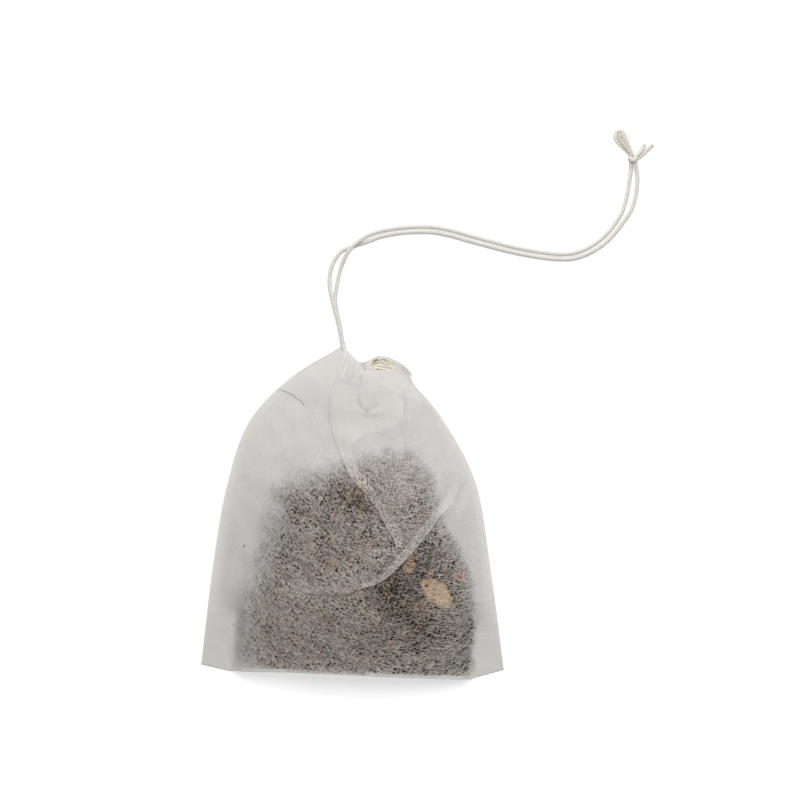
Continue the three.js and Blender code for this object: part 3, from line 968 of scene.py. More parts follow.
    def back_height(self, across: np.ndarray, up: np.ndarray) -> np.ndarray:
        """Height of the back panel, which lies on the table and lifts at its sides.

        Args:
            across: Shares across the bag.
            up: Shares up the bag.

        Returns:
            Heights above the table.
        """
        seam = self.seam_level(up) - self.weld_gap / 2
        beside = smoothstep(np.abs(2 * across - 1), *self.back_lift_span)
        return lerp(self.back_height_low, seam, beside) + np.maximum(0, self.gather(across, up))

    def ceiling(self, x: np.ndarray, y: np.ndarray) -> np.ndarray:
        """Height of the front panel's lowest layer over places of the plane."""
        return self.front_height(*self.locate(x, y))


# Paper


@dataclass
class Crease:
    """A small raised or sunken line in the paper, in plan."""

    points: Sequence[Point2]
    height: float
    width: float


@dataclass
class PaperSheet:
    """The filter bag: one sheet with a folded bottom, welded sides and a hemmed and pleated mouth."""

    shape: BagShape
    tea: "TeaFill"
    flat_size: Point2 = (70.0, 203.6)
    pitch: float = 0.26
    layer_shares: Sequence[Point2] = ((0.36, 1.0), (0.46, 0.5), (0.6, 0.35), (0.86, 0.45), (0.93, 0.35))
    fold_row: float = 0.0015
    tuck_width: float = 2.4
    tuck_reach: float = 0.08
    flat_run: float = 2.5
    stepped: float = 0.35
    laid_over: float = 0.8
    covered_clearing: float = 3.6
    cover_clearings: Point2 = (0.72, 0.4)
    tongue_edge: Sequence[Point2] = (
        (0, 0.38), (0.19, 0.27), (0.25, 0.36), (0.33, 0.55), (0.372, 0.636), (0.392, 0.648), (0.43, 0.619),
        (0.459, 0.596), (0.514, 0.547), (0.562, 0.484), (0.654, 0.417), (0.782, 0.326), (0.918, 0.243),
        (1, 0.22))
    tongue_hidden_edge: Sequence[Point2] = (
        (0, 0.46), (0.19, 0.33), (0.25, 0.41), (0.33, 0.59), (0.372, 0.662), (0.392, 0.68), (0.43, 0.662),
        (0.49, 0.612), (0.541, 0.562), (0.585, 0.515), (0.62, 0.49), (0.655, 0.475), (0.69, 0.52),
        (0.72, 0.62), (0.75, 0.69), (0.79, 0.725), (0.85, 0.72), (0.9, 0.55), (0.94, 0.36), (1, 0.34))
    tuck_edge: Sequence[Point2] = (
        (0, 0.78), (0.19, 0.43), (0.23, 0.5), (0.25, 0.55), (0.285, 0.621), (0.355, 0.705), (0.411, 0.762),
        (0.467, 0.814), (0.537, 0.889), (0.6, 0.945), (0.64, 0.962), (0.8, 0.93), (1, 0.88))
    tongue_span: tuple[float, ...] = (0.352, 0.388, 1.0, 1.1)
    tuck_span: tuple[float, ...] = (0.216, 0.262, 0.57, 0.66)
    tuck_ramp: Point2 = (0.3, 0.08)
    settle_run: float = 0.15
    panel_points: int = 32
    tongue_layer_points: int = 12
    tuck_layer_points: int = 6
    turn_points: int = 6
    rows: int = 160
    base_rows: int = 24
    base_opening: float = 2.4
    base_opening_run: float = 0.12
    base_gap: float = 0.06
    tucked_span: Point2 = (5.0, 9.5)
    seam_margin: float = 0.012
    hem_rows: int = 14
    hem_start: float = 0.86
    hem_gap: float = 0.8
    weave_centre: Point2 = (2.0, 46.0)
    weave_radius: float = 60.0
    weave_shift: float = 0.31
    notch_centre: Point2 = (7.0, 34.35)
    notch_size: Point2 = (5.0, 2.5)
    pleat: Sequence[Point2] = (
        (2.2, 32.6), (1.7, 30.1), (0.95, 27.5), (1.5, 25.4), (2.5, 23.8), (4.2, 22.8), (5.6, 24.0),
        (6.1, 26.2), (6.0, 28.6), (5.2, 31.2), (3.8, 32.8))
    pleat_sides: int = 60
    pleat_rings: int = 10
    pleat_hub: float = 0.06
    pleat_lift: float = 0.08
    pleat_height: float = 0.5
    pleat_power: int = 4
    pleat_slopes: Point2 = (0.5, 2.2)
    pleat_ridge: Point2 = (-0.8, 1.6)
    creases: Sequence[Crease] = (
        Crease(((1.7, 30.1), (0.9, 27.5), (2.4, 23.8), (4.3, 22.9), (5.9, 24.3), (5.9, 28.0)), 0.34, 0.45),
        Crease(((4.8, 22.9), (8.0, 24.2), (11.0, 25.0)), 0.22, 0.4),
        Crease(((11.7, 28.5), (11.7, 20.0), (11.6, 14.4)), 0.42, 0.55),
        Crease(((15.4, 16.0), (15.4, 14.1)), 0.2, 0.35),
        Crease(((-17.2, 6.5), (-15.9, 3.6), (-13.4, 0.2), (-10.4, -4.6)), 0.3, 0.6),
        Crease(((1.8, 35.4), (2.2, 34.0), (2.6, 32.2)), -0.4, 0.5),
        Crease(((-1.7, 37.3), (-2.4, 35.0), (-3.3, 32.6)), 0.3, 0.3),
        Crease(((-0.9, 36.4), (-1.9, 33.6), (-2.7, 31.1)), 0.32, 0.3),
        Crease(((0.0, 35.9), (-0.7, 33.2), (-1.6, 30.6)), 0.3, 0.28),
        Crease(((0.9, 35.6), (0.4, 32.8), (-0.4, 30.2)), 0.3, 0.28),
        Crease(((3.4, 35.0), (3.2, 32.6), (3.7, 29.4)), 0.24, 0.35),
        Crease(((19.9, -0.2), (22.8, 1.2), (24.1, 4.2), (23.5, 6.0), (25.8, 8.6)), 0.12, 0.8),
        Crease(((-33.6, -23.1), (-28.2, -23.1)), 0.14, 0.25),
        Crease(((-28.0, -23.3), (-28.4, -35.4)), 0.12, 0.3),
        Crease(((29.0, -25.4), (33.8, -25.4)), 0.14, 0.25),
        Crease(((29.0, -25.6), (28.8, -36.6)), 0.12, 0.3),
        Crease(((-1.7, -16.7), (-0.9, -22.4)), 0.2, 0.6),
        Crease(((10.0, -6.6), (11.6, -8.2), (13.0, -9.3)), 0.22, 0.3),
        Crease(((5.0, -16.7), (2.9, -17.6), (-1.0, -17.4)), 0.24, 0.35),
    )

    @property
    def ups(self) -> np.ndarray:
        """Shares of the way up at which the rows lie, with one near the bottom fold to keep it sharp."""
        return np.insert(np.linspace(0, 1, self.rows), 1, self.fold_row)

    def build(self) -> bpy.types.Object:
        """Makes the sheet as one grid of rows, from the front's hem over the base to the back's hem.

        Returns:
            The sheet, riding on the bag and dressed.
        """
        front, clearing = self._front_rows()
        back = self._back_rows(np.linspace(0, 1, front.shape[1]))
        base = self._base_rows(front[0], back[0])
        front_hem = self._hem_rows(front, -1)
        back_hem = self._hem_rows(back, 1)
        rows = np.concatenate([front_hem, front[::-1], base, back, back_hem[::-1]])
        front_end = len(front_hem) + len(front)
        faces, points = self._cut_notch(rows, front_end)
        parts = MeshParts()
        parts.add(points, faces)
        parts.add(*self._pleat_parts())
        sheet = parts.build("filter_paper_bag", FilterPaper().material())
        self._map_weave(sheet.data, self._run_down_base(base, front_end, len(rows)))
        touch = self.tea.touch(np.vstack(parts.points))
        by_row = touch[:len(points)].reshape(len(rows), -1)
        by_row[len(front_hem):front_end] *= clearing[::-1]
        attribute = sheet.data.attributes.new("touch", "FLOAT", "POINT")
        attribute.data.foreach_set("value", touch.astype(np.float32))
        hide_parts("filter_bag")
        return sheet

    @staticmethod
    def _formed(span: tuple[float, ...], up: float) -> float:
        """How far a fold has formed at a share of the way up."""
        start, full, fade, end = span
        return float(smoothstep(up, start, full) * (1 - smoothstep(up, fade, end)))

    @staticmethod
    def _share_at(line: Sequence[Point2], up: float) -> float:
        """The share across at which a fold's line lies at a share of the way up."""
        return float(np.interp(up, *smooth_line(line, steps=8).T))

    def _risen(self, amount: float) -> float:
        """How far a fold has risen from flat paper to a step."""
        return float(smoothstep(amount, 0, self.stepped))

    def _fold_section(self, overlap: float, amount: float, count: int) -> np.ndarray:
        """Section through one fold about its middle, along the row and up.

        The sheet comes in on the lower panel, bends up into its middle layer and back onto the upper panel.
        At first it is a step; further on the middle layer leans right over and lies between the two panels.

        Args:
            overlap: How far the panels overlap once the fold is full.
            amount: How far the fold has formed.
            count: Points along each layer.

        Returns:
            Points along the sheet.
        """
        radius = self.pitch / 2
        lean = np.clip((amount - self.stepped) / (self.laid_over - self.stepped), 0, 1)
        heading = lerp(math.pi / 3, math.pi, lean)
        leaning = max(2 * radius / math.tan(heading / 2), radius)
        length = leaning + (overlap - 3 * radius) * smoothstep(amount, self.laid_over, 1)
        end = np.array([math.cos(heading), math.sin(heading)]) * length / 2
        centre = np.array([math.sin(heading), -math.cos(heading)]) * radius + end
        run = max(self.flat_run, -2 * centre[0])
        shares = np.linspace(0, 1, count)
        middle = np.outer(2 * shares - 1, end)
        turn = heading * (1 - np.arange(1, self.turn_points + 1) / (self.turn_points + 1))
        bend = np.stack([-np.sin(turn), np.cos(turn)], axis=1) * radius + centre
        upper = np.stack([centre[0] + run * shares, np.full(count, centre[1] + radius)], axis=1)
        half = np.vstack([bend, upper])
        return np.vstack([-half[::-1], middle, half])

    def _fold_points(self, hidden: float, edge: float, width: float, count: int, amount: float,
                     flat_level: Any) -> np.ndarray:
        """Points of one fold from its lower panel to its upper one.

        Args:
            hidden: Share across the bag of the edge that doesn't show.
            edge: Share across the bag of the edge that shows.
            width: Width of the bag at this row.
            count: Points along each layer.
            amount: How far the fold has formed.
            flat_level: Level of the paper where there is no fold, by the share across.

        Returns:
            Shares across and levels, one point in each row.
        """
        section = self._fold_section(abs(hidden - edge) * width, amount, count)
        flat = self.flat_run * np.linspace(-1, 1, len(section))
        step = self._risen(amount)
        across = (hidden + edge) / 2 + np.sign(hidden - edge) * lerp(flat, section[:, 0], step) / width
        return np.stack([across, lerp(flat_level(across), 1 + section[:, 1] / self.pitch, step)], axis=1)

    def _panel(self, start: np.ndarray, end: np.ndarray, level_at: Any) -> np.ndarray:
        """Points of a plain panel between two folds."""
        across = np.linspace(start[0], end[0], self.panel_points + 2)[1:-1]
        return np.stack([across, level_at(across)], axis=1)

    def _front_row(self, up: float) -> np.ndarray:
        """One row of the front sheet from the left seam to the right one.

        Args:
            up: Share of the way up the bag.

        Returns:
            Shares across and levels, one point in each row.
        """
        width = self.shape.row_width(up)
        tongue_amount, tuck_amount = (self._formed(span, up) for span in (self.tongue_span, self.tuck_span))
        tongue_step, tuck_step = self._risen(tongue_amount), self._risen(tuck_amount)
        lines = (self.tuck_edge, self.tongue_hidden_edge, self.tongue_edge)
        tuck_edge, tongue_hidden, tongue_edge = (self._share_at(line, up) for line in lines)
        tuck_hidden = tuck_edge - self.tuck_width / width
        ramp_start, ramp_end = (tuck_edge - run for run in self.tuck_ramp)

        def ramp(across: np.ndarray) -> np.ndarray:
            """Level of paper that climbs towards the tuck."""
            return 2 * tuck_step * smoothstep(across, ramp_start, ramp_end)

        def under_tongue(across: np.ndarray) -> np.ndarray:
            """Level of the panel on the left."""
            return lerp(ramp(across), 0, tongue_step)

        def on_tongue(across: np.ndarray) -> np.ndarray:
            """Level of the panel on top."""
            settled = (1 - tuck_step) * smoothstep(across, tongue_hidden, tongue_hidden + self.settle_run)
            return lerp(ramp(across), 2 - 2 * settled, tongue_step)

        def past_tuck(across: np.ndarray) -> np.ndarray:
            """Level of the panel on the right."""
            return lerp(on_tongue(across), 0, tuck_step)

        tongue = self._fold_points(
            tongue_hidden, tongue_edge, width, self.tongue_layer_points, tongue_amount, ramp)
        tuck = self._fold_points(
            tuck_hidden, tuck_edge, width, self.tuck_layer_points, tuck_amount, on_tongue)[::-1]
        left, right = np.array([0.0, 0.0]), np.array([1.0, 0.0])
        left_panel = self._panel(left, tongue[0], under_tongue)
        top_panel = self._panel(tongue[-1], tuck[0], on_tongue)
        right_panel = self._panel(tuck[-1], right, past_tuck)
        return np.vstack([left, left_panel, tongue, top_panel, tuck, right_panel, right])

    def _front_rows(self) -> tuple[np.ndarray, np.ndarray]:
        """The front panel's points, from the bottom to the neck.

        Returns:
            Rows of points, and how much more or less the tea shows through each of them.
        """
        rows, clearing = [], []
        for up in self.ups:
            across, level = self._front_row(up).T
            height = self.shape.front_height(across, up) + level * self._layer(up)
            rows.append(np.column_stack([self.shape.plan(across, up), height]))
            by_tuck = across > self._share_at(self.tuck_edge, up) - self.tuck_reach
            clearing.append(self._clearing_at(across, level, by_tuck))
        front = np.array(rows)
        for crease in self.creases:
            away = distance_to(smooth_line(crease.points, steps=6), front[..., 0], front[..., 1])
            front[..., 2] += crease.height * np.exp(-((away / crease.width) ** 2))
        return front, np.array(clearing)

    def _layer(self, up: Any) -> Any:
        """Height of one layer over the next, which is less where no tea pushes them up."""
        return self.pitch * np.interp(up, *zip(*self.layer_shares))

    def _clearing_at(self, across: np.ndarray, level: np.ndarray, by_tuck: np.ndarray) -> np.ndarray:
        """How much more or less the tea shows through each point of a row.

        Args:
            across: Shares across the bag.
            level: Layers that lie under each point.
            by_tuck: Whether each point belongs to the tuck rather than the tongue.

        Returns:
            A factor for each point, by the layers over and under it.
        """
        low, high = np.minimum(across[:-1], across[1:]), np.maximum(across[:-1], across[1:])
        meets = (low < across[:, None]) & (across[:, None] < high)
        other = (level[:-1] + level[1:]) / 2
        covered = (meets & (other > level[:, None] + 0.5)).any(axis=1)
        covering = (meets & (other < level[:, None] - 0.5)).any(axis=1)
        cover = np.where(by_tuck, self.cover_clearings[1], self.cover_clearings[0])
        return np.where(covered, self.covered_clearing, np.where(covering, cover, 1))

    def _back_rows(self, across: np.ndarray) -> np.ndarray:
        """The back panel's rows of points, from the bottom to the neck.

        Args:
            across: Shares across the bag at which each row has its points.

        Returns:
            Rows of points.
        """
        rows = [np.column_stack([self.shape.plan(across, up), self.shape.back_height(across, up)])
                for up in self.ups]
        back = np.array(rows)
        by_base = 1 - smoothstep(self.ups[:, None], 0, self.base_opening_run)
        back[..., 1] += self.base_opening * (1 - self._tucked(across)) * by_base
        return back

    def _tucked(self, across: np.ndarray) -> np.ndarray:
        """How far the gusset is still tucked in: fully at the corners, and not at all in the middle."""
        from_side = np.minimum(across, 1 - across) * self.shape.width
        return 1 - smoothstep(from_side, *self.tucked_span)

    def _base_rows(self, front_edge: np.ndarray, back_edge: np.ndarray) -> np.ndarray:
        """The gusset between the front's bottom edge and the back's.

        Args:
            front_edge: Points of the front's lowest row.
            back_edge: Points of the back's lowest row.

        Returns:
            Rows of points between the two edges.
        """
        place = np.interp(front_edge[:, 0], (front_edge[0, 0], front_edge[-1, 0]), (0, 1))
        inside_seam = np.clip(place, self.seam_margin, 1 - self.seam_margin)
        tucked = self._tucked(place)
        rows = []
        for share in np.linspace(0, 1, self.base_rows + 2)[1:-1]:
            row = lerp(front_edge, back_edge, share)
            inward = self.shape.gusset_depth * (1 - abs(2 * share - 1))
            up = inward / (self.shape.top - self.shape.bottom)
            tuck = self.shape.plan(inside_seam, up) - self.shape.plan(inside_seam, 0.0)
            row[:, :2] += tucked[:, None] * tuck
            ceiling = self.shape.ceiling(*row[:, :2].T)
            row[:, 2] = np.minimum(row[:, 2], ceiling - self.base_gap * tucked)
            rows.append(row)
        return np.array(rows)

    def _pleat_parts(self) -> tuple[np.ndarray, list[Face]]:
        """The small rounded pleat that lies on the front below the neck, open underneath.

        Returns:
            Its points, and its faces as numbers of them.
        """
        closed = smooth_line([*self.pleat, self.pleat[0]], steps=8)
        rim = along(closed, np.linspace(0, 1, self.pleat_sides, endpoint=False))
        middle = rim.mean(axis=0)
        slope = lerp(*self.pleat_slopes, smoothstep(rim[:, 0] - middle[0], *self.pleat_ridge))
        rows = []
        for share in np.linspace(self.pleat_hub, 1, self.pleat_rings):
            place = lerp(middle, rim, share)
            across, up = self.shape.locate(*place.T)
            top = self.shape.front_height(across, up) + 2 * self._layer(up) + self.pleat_lift
            raised = self.pleat_height * (1 - share ** self.pleat_power) ** slope
            rows.append(np.column_stack([place, top + raised]))
        return np.vstack(rows), capped_faces(self.pleat_rings, self.pleat_sides)[:-1]

    def _hem_rows(self, panel: np.ndarray, side: int) -> np.ndarray:
        """The hem turned in at the mouth, one layer inside its panel.

        Args:
            panel: Rows of the panel from the bottom to the neck.
            side: -1 under the front panel, 1 over the back one.

        Returns:
            Rows from the hem's inner edge to the mouth.
        """
        first = round(self.hem_start * (len(panel) - 1))
        picked = np.linspace(first, len(panel) - 1, self.hem_rows).round().astype(int)
        hem = panel[picked].copy()
        hem[..., 2] += side * self.pitch * self.hem_gap
        return hem

    def _cut_notch(self, rows: np.ndarray, front_count: int) -> tuple[np.ndarray, np.ndarray]:
        """Cuts the notch out of the front panel and its hem.

        Args:
            rows: All rows of the sheet.
            front_count: How many of them are front hem and front panel.

        Returns:
            The faces that stay, and the points with those round the notch moved onto its edge.
        """
        points = rows.reshape(-1, 3).copy()
        faces = strip_faces(len(rows), rows.shape[1])
        radius = self.notch_size[1] / 2
        straight = self.notch_size[0] / 2 - radius
        ends = np.array([[-straight, 0], [straight, 0]]) + self.notch_centre
        centres = points[faces].mean(axis=1)
        cut = distance_to(ends, centres[:, 0], centres[:, 1]) < radius
        cut &= faces[:, 0] < (front_count - 1) * rows.shape[1]
        cut &= centres[:, 2] > self.shape.neck_height / 2
        rim = np.intersect1d(faces[cut], faces[~cut])
        spine = np.clip(points[rim, 0], *ends[:, 0])
        away = points[rim, :2] - np.stack([spine, np.full(len(rim), ends[0, 1])], axis=1)
        reach = np.linalg.norm(away, axis=1, keepdims=True)
        points[rim, :2] += away * (radius / reach - 1)
        return faces[~cut], points

    @staticmethod
    def _run_down_base(base: np.ndarray, before: int, total: int) -> np.ndarray:
        """How far down the base each point of the sheet lies, along the paper.

        Args:
            base: The base's rows.
            before: How many rows the sheet has above them.
            total: How many rows it has in all.

        Returns:
            The distances, one for each point of the sheet's grid.
        """
        runs = np.zeros((total, base.shape[1]))
        runs[before + 1:before + len(base)] = np.linalg.norm(np.diff(base, axis=0), axis=2)
        return np.cumsum(runs, axis=0).ravel()

    def _map_weave(self, mesh: bpy.types.Mesh, run_down: np.ndarray) -> None:
        """Maps the paper's pores onto the sheet, in millimetres, with their rows bent round the neck.

        Args:
            mesh: The sheet's mesh.
            run_down: How far down the base each point of its grid lies.
        """
        corners = np.zeros(len(mesh.loops), int)
        mesh.loops.foreach_get("vertex_index", corners)
        points = np.zeros(len(mesh.vertices) * 3)
        mesh.vertices.foreach_get("co", points)
        points = points.reshape(-1, 3) / MM
        x, y = points[:, 0] - self.weave_centre[0], self.weave_centre[1] - points[:, 1]
        radius = np.hypot(x, y)
        around = np.arctan2(x, np.maximum(y, 1.0)) * np.sqrt(radius * self.weave_radius)
        layer = self.weave_shift * points[:, 2]
        weave = np.stack([around + layer, radius - layer], axis=1)
        weave[:len(run_down), 1] += run_down
        mapped = mesh.uv_layers.new(name="weave")
        mapped.data.foreach_set("uv", weave[corners].astype(np.float32).ravel())


# Tea


@dataclass(frozen=True)
class Chunk:
    """A larger dried piece: the CAD node it stands for, its slot, its corners in plan and its colours."""

    node: str
    slot: Slot
    outline: Sequence[Point2]
    stops: Stops


@dataclass
class TeaFill:
    """Leaf tea inside the bag: a dark heap, the leaf on it, a few coloured bits and some dust."""

    shape: BagShape
    outline: Sequence[Point2] = (
        (-27.4, -35.45), (-27.2, -25.0), (-26.2, -18.0), (-23.2, -6.5), (-20.5, 2.5), (-18.9, 7.4),
        (-15.6, 10.4), (-11.0, 11.4), (-6.0, 12.8), (-0.5, 14.0), (3.0, 14.8), (8.0, 15.6), (13.0, 15.4),
        (18.0, 12.6), (20.2, 6.0), (21.6, 0.0), (23.2, -4.0), (26.0, -8.5), (27.7, -13.0), (28.6, -20.0),
        (28.6, -26.0), (28.3, -37.6))
    edge_ripples: Ripples = Ripples(0.45, 5.0, 23)
    seed: int = 11

    floor: float = 0.14
    headroom: float = 0.12
    heap_centre: Point2 = (3.0, -14.0)
    heap_rings: int = 26
    heap_sides: int = 120
    heap_samples: int = 2000
    heap_span: Point2 = (0.03, 0.995)
    heap_gap: float = 0.05
    heap_least: float = 0.02
    heap_shade: float = 0.25
    base_lean: float = 3.2
    base_run: float = 9.0
    slope_runs: Point2 = (9.0, 5.0)
    slope_change: Point2 = (-15, 10)
    lump_depth: float = 0.7
    lump_limits: Point2 = (0.05, 2.4)
    lumps: Sequence[Ripples] = (Ripples(0.25, 8.0, 21), Ripples(0.2, 2.6, 22))
    hollows: Sequence[Zone] = (
        (11.0, 11.1, 7.0, 1.3), (-12.1, -27.1, 12.7, 0.3), (-15.6, -6.3, 5.8, 0.3), (0.2, 3.0, 3.8, -0.7),
        (8.7, -17.2, 5.0, -0.8), (14.5, -12.0, 4.5, -0.6), (13.5, -23.5, 6.5, -0.6))

    touch_gap: float = 0.6
    touch_least: float = -0.43
    touch_fade: float = 2.0
    touch_runs: Point2 = (4.2, 1.5)
    fold_touch: float = 0.9
    fold_run: float = 1.2
    chunk_touch: float = 0.9
    chunk_level: float = 9.5
    damp_zones: Sequence[Zone] = (
        (0.4, 3.2, 3.6, 0.5), (8.2, -17.0, 4.4, 0.6), (15.5, -13.0, 5.0, 0.35), (13.5, -24.0, 6.0, 0.25),
        (-15.4, 4.2, 1.7, 0.7), (-12.2, -0.2, 2.2, 0.4), (-1.2, -8.8, 5.5, 0.22), (24.0, -19.5, 3.4, 0.3))
    shade_ripples: Ripples = Ripples(0.25, 6.0, 41)
    # Paler tea where the height is positive and darker where it is negative; the first patch is painted
    # light, on the tea under the tongue where the paper stands off it.
    pale_dark_and_painted_light_zones: Sequence[Zone] = (
        (12.0, 8.0, 8.0, 0.42), (1.5, -11.0, 6.5, 0.22), (-14.0, -24.0, 13.0, 0.4), (-0.6, 3.0, 4.0, -0.2),
        (8.7, -17.2, 4.0, -0.3), (14.5, -12.0, 4.0, -0.2), (22.0, -27.0, 9.0, -0.26),
        (-9.0, 2.0, 6.0, -0.06))

    shard_sections: int = 4
    shard_turns: Point3 = (math.pi, 0.35, 0.8)
    shard_tilt: float = 0.22
    shard_taper: float = 0.62
    shard_thickness: float = 0.22
    shard_skin: float = 0.04
    leaf_stops: Stops = (
        (0.0, (0.006, 0.005, 0.004)), (0.3, (0.02, 0.013, 0.008)), (0.55, (0.06, 0.036, 0.02)),
        (0.8, (0.14, 0.09, 0.052)), (1.0, (0.34, 0.25, 0.16)))
    leaf_count: int = 5200
    leaf_margin: float = 2.0
    leaf_length_curve: Point2 = (3.2, 0.55)
    leaf_lengths: Point2 = (0.5, 4.6)
    leaf_widths: Point2 = (0.28, 0.95)
    leaf_shade_curve: Point2 = (1.6, 2.4)
    leaf_shades: Point2 = (0, 0.85)
    leaf_depths: Point2 = (-0.75, 0.3)
    leaf_least_depth: float = 0.16

    bit_stops: Stops = (
        (0.0, (0.17, 0.06, 0.04)), (0.3, (0.21, 0.11, 0.055)), (0.55, (0.24, 0.16, 0.08)),
        (0.75, (0.18, 0.16, 0.08)), (1.0, (0.29, 0.22, 0.145)))
    bit_count: int = 26
    bit_margin: float = 2.5
    bit_lengths: Point2 = (0.7, 1.8)
    bit_widths: Point2 = (0.4, 0.9)
    bit_shades: Point2 = (0, 1)
    bit_depths: Point2 = (0.18, 0.5)
    chosen_bits: Sequence[tuple[float, ...]] = (
        (13.2, -9.6, 3.2, 2.0, 0.42), (11.0, -21.3, 3.4, 1.6, 0.74), (17.5, -21.5, 2.6, 1.6, 0.1),
        (-4.0, 0.0, 3.2, 1.5, 0.3), (-0.6, 3.9, 2.6, 1.3, 0.28), (17.7, -14.1, 2.8, 1.6, 0.4))
    chosen_bit_depth: float = 0.2

    dust_count: int = 7
    dust_lift: float = 0.34
    dust_depth: float = 0.06
    dust_area: Sequence[Point2] = ((0.06, 0.06), (0.3, 0.8))
    dust_lengths: Point2 = (0.12, 0.24)
    dust_width: float = 0.7
    dust_shades: Point2 = (0.4, 0.9)
    chosen_specks: Sequence[Point3] = ((-24.9, -7.4, 0.42), (-27.5, -25.9, 0.3))
    hair: Sequence[Point2] = ((-17.0, 28.7), (-14.7, 27.9), (-12.6, 26.5), (-11.7, 25.9), (-11.0, 25.0))
    hair_diameter: float = 0.12

    chunk_margin: float = 1.1
    chunk_sides: int = 40
    chunk_rings: int = 9
    chunk_pole: float = 0.08
    chunk_half: float = 0.75
    chunk_powers: Point2 = (0.6, 0.8)
    chunk_lumps: Ripples = Ripples(0.16, 1.6, 31)
    chunk_shade: float = 0.55
    chunk_shades: Ripples = Ripples(0.3, 1.3, 33)
    chunks: Sequence[Chunk] = (
        Chunk("fruit_piece", Slot.FRUIT,
              ((14.9, -17.5), (15.6, -15.0), (19.2, -15.0), (22.7, -17.4), (22.7, -21.4), (21.2, -21.8),
               (17.4, -20.0)),
              ((0.0, (0.3, 0.19, 0.1)), (0.5, (0.48, 0.34, 0.2)), (1.0, (0.6, 0.45, 0.29)))),
        Chunk("peel_piece", Slot.PEEL,
              ((11.2, -13.6), (12.1, -10.9), (14.3, -10.4), (15.1, -11.9), (13.6, -14.0)),
              ((0.0, (0.17, 0.075, 0.03)), (0.5, (0.30, 0.16, 0.07)), (1.0, (0.38, 0.23, 0.11)))),
        Chunk("berry_piece", Slot.BERRY,
              ((23.0, -15.3), (23.4, -13.4), (25.0, -13.1), (25.9, -14.2), (25.2, -15.7)),
              ((0.0, (0.13, 0.025, 0.02)), (0.5, (0.25, 0.07, 0.05)), (1.0, (0.33, 0.12, 0.08)))))

    def __post_init__(self) -> None:
        """Starts the draws, and keeps the outline, open and closed, and its side along the fold."""
        self.draw = np.random.default_rng(self.seed)
        self.edge = np.asarray(self.outline, float)
        self.rim = np.vstack([self.edge, self.edge[:1]])
        self.fold = self.edge[[0, -1]]

    def build(self) -> list[bpy.types.Object]:
        """Makes the heap, the leaf, the coloured bits, the dust and the three larger pieces.

        Returns:
            The pieces, riding on the bag and dressed.
        """
        leaf = DriedLeaf("tea_leaf", self.leaf_stops).material()
        bits = DriedLeaf("coloured_bit", self.bit_stops).material()
        pieces = [self._heap(leaf), self._leaves(leaf), self._bits(bits), self._dust(leaf)]
        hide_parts("tea_leaves")
        for chunk in self.chunks:
            piece = self._chunk(chunk)
            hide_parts(chunk.node)
            pieces.append(piece)
        return pieces

    def _within(self, x: np.ndarray, y: np.ndarray) -> np.ndarray:
        """Distance inside the tea's edge, or 0 outside it. Its side along the fold isn't an edge."""
        uneven = distance_to(self.edge, x, y) + self.edge_ripples.at(x, y)
        return np.where(inside(self.edge, x, y), np.maximum(uneven, 0), 0)

    def _surface(self, x: np.ndarray, y: np.ndarray) -> np.ndarray:
        """Height of the heap: up against the paper in the middle, and falling away towards its edge.

        Args:
            x: First coordinates of the places.
            y: Second coordinates of the places.

        Returns:
            Heights above the table, in the shape of x.
        """
        depth = sum((ripples.at(x, y) for ripples in self.lumps), self.lump_depth)
        depth = sum((spot(zone, x, y) for zone in self.hollows), depth)
        top = self.shape.ceiling(x, y) - self.headroom - np.clip(depth, *self.lump_limits)
        run = lerp(*self.slope_runs, smoothstep(x, *self.slope_change))
        return lerp(self.floor, top, 1 - (1 - np.minimum(self._within(x, y) / run, 1)) ** 2)

    def touch(self, points: np.ndarray) -> np.ndarray:
        """How much the tea shows through points of the paper.

        Args:
            points: Places on the paper.

        Returns:
            About 1 where it touches, falling towards 0 as the gap opens, and more where it is damp.
        """
        x, y, z = points.T
        gap = np.maximum(z - self._surface(x, y) - self.touch_gap, self.touch_least)
        touch = np.where(inside(self.edge, x, y), np.exp(-gap / self.touch_fade), 0)
        run = lerp(*self.touch_runs, smoothstep(x, *self.slope_change))
        touch *= smoothstep(self._within(x, y), 0, run)
        touch *= lerp(self.fold_touch, 1, smoothstep(distance_to(self.fold, x, y), 0, self.fold_run))
        for zone in self.damp_zones:
            touch *= 1 + spot(zone, x, y)
        pressed = np.exp(-np.maximum(z - self.chunk_level, 0))
        for chunk in self.chunks:
            touch = np.maximum(touch, self.chunk_touch * inside(np.array(chunk.outline), x, y) * pressed)
        return touch

    def _shade(self, places: np.ndarray) -> np.ndarray:
        """How much paler or darker than usual the tea is at places of the plan, with painted light under
        the tongue.
        """
        x, y = places[:, 0], places[:, 1]
        return sum((spot(zone, x, y) for zone in self.pale_dark_and_painted_light_zones), self.shade_ripples.at(x, y))

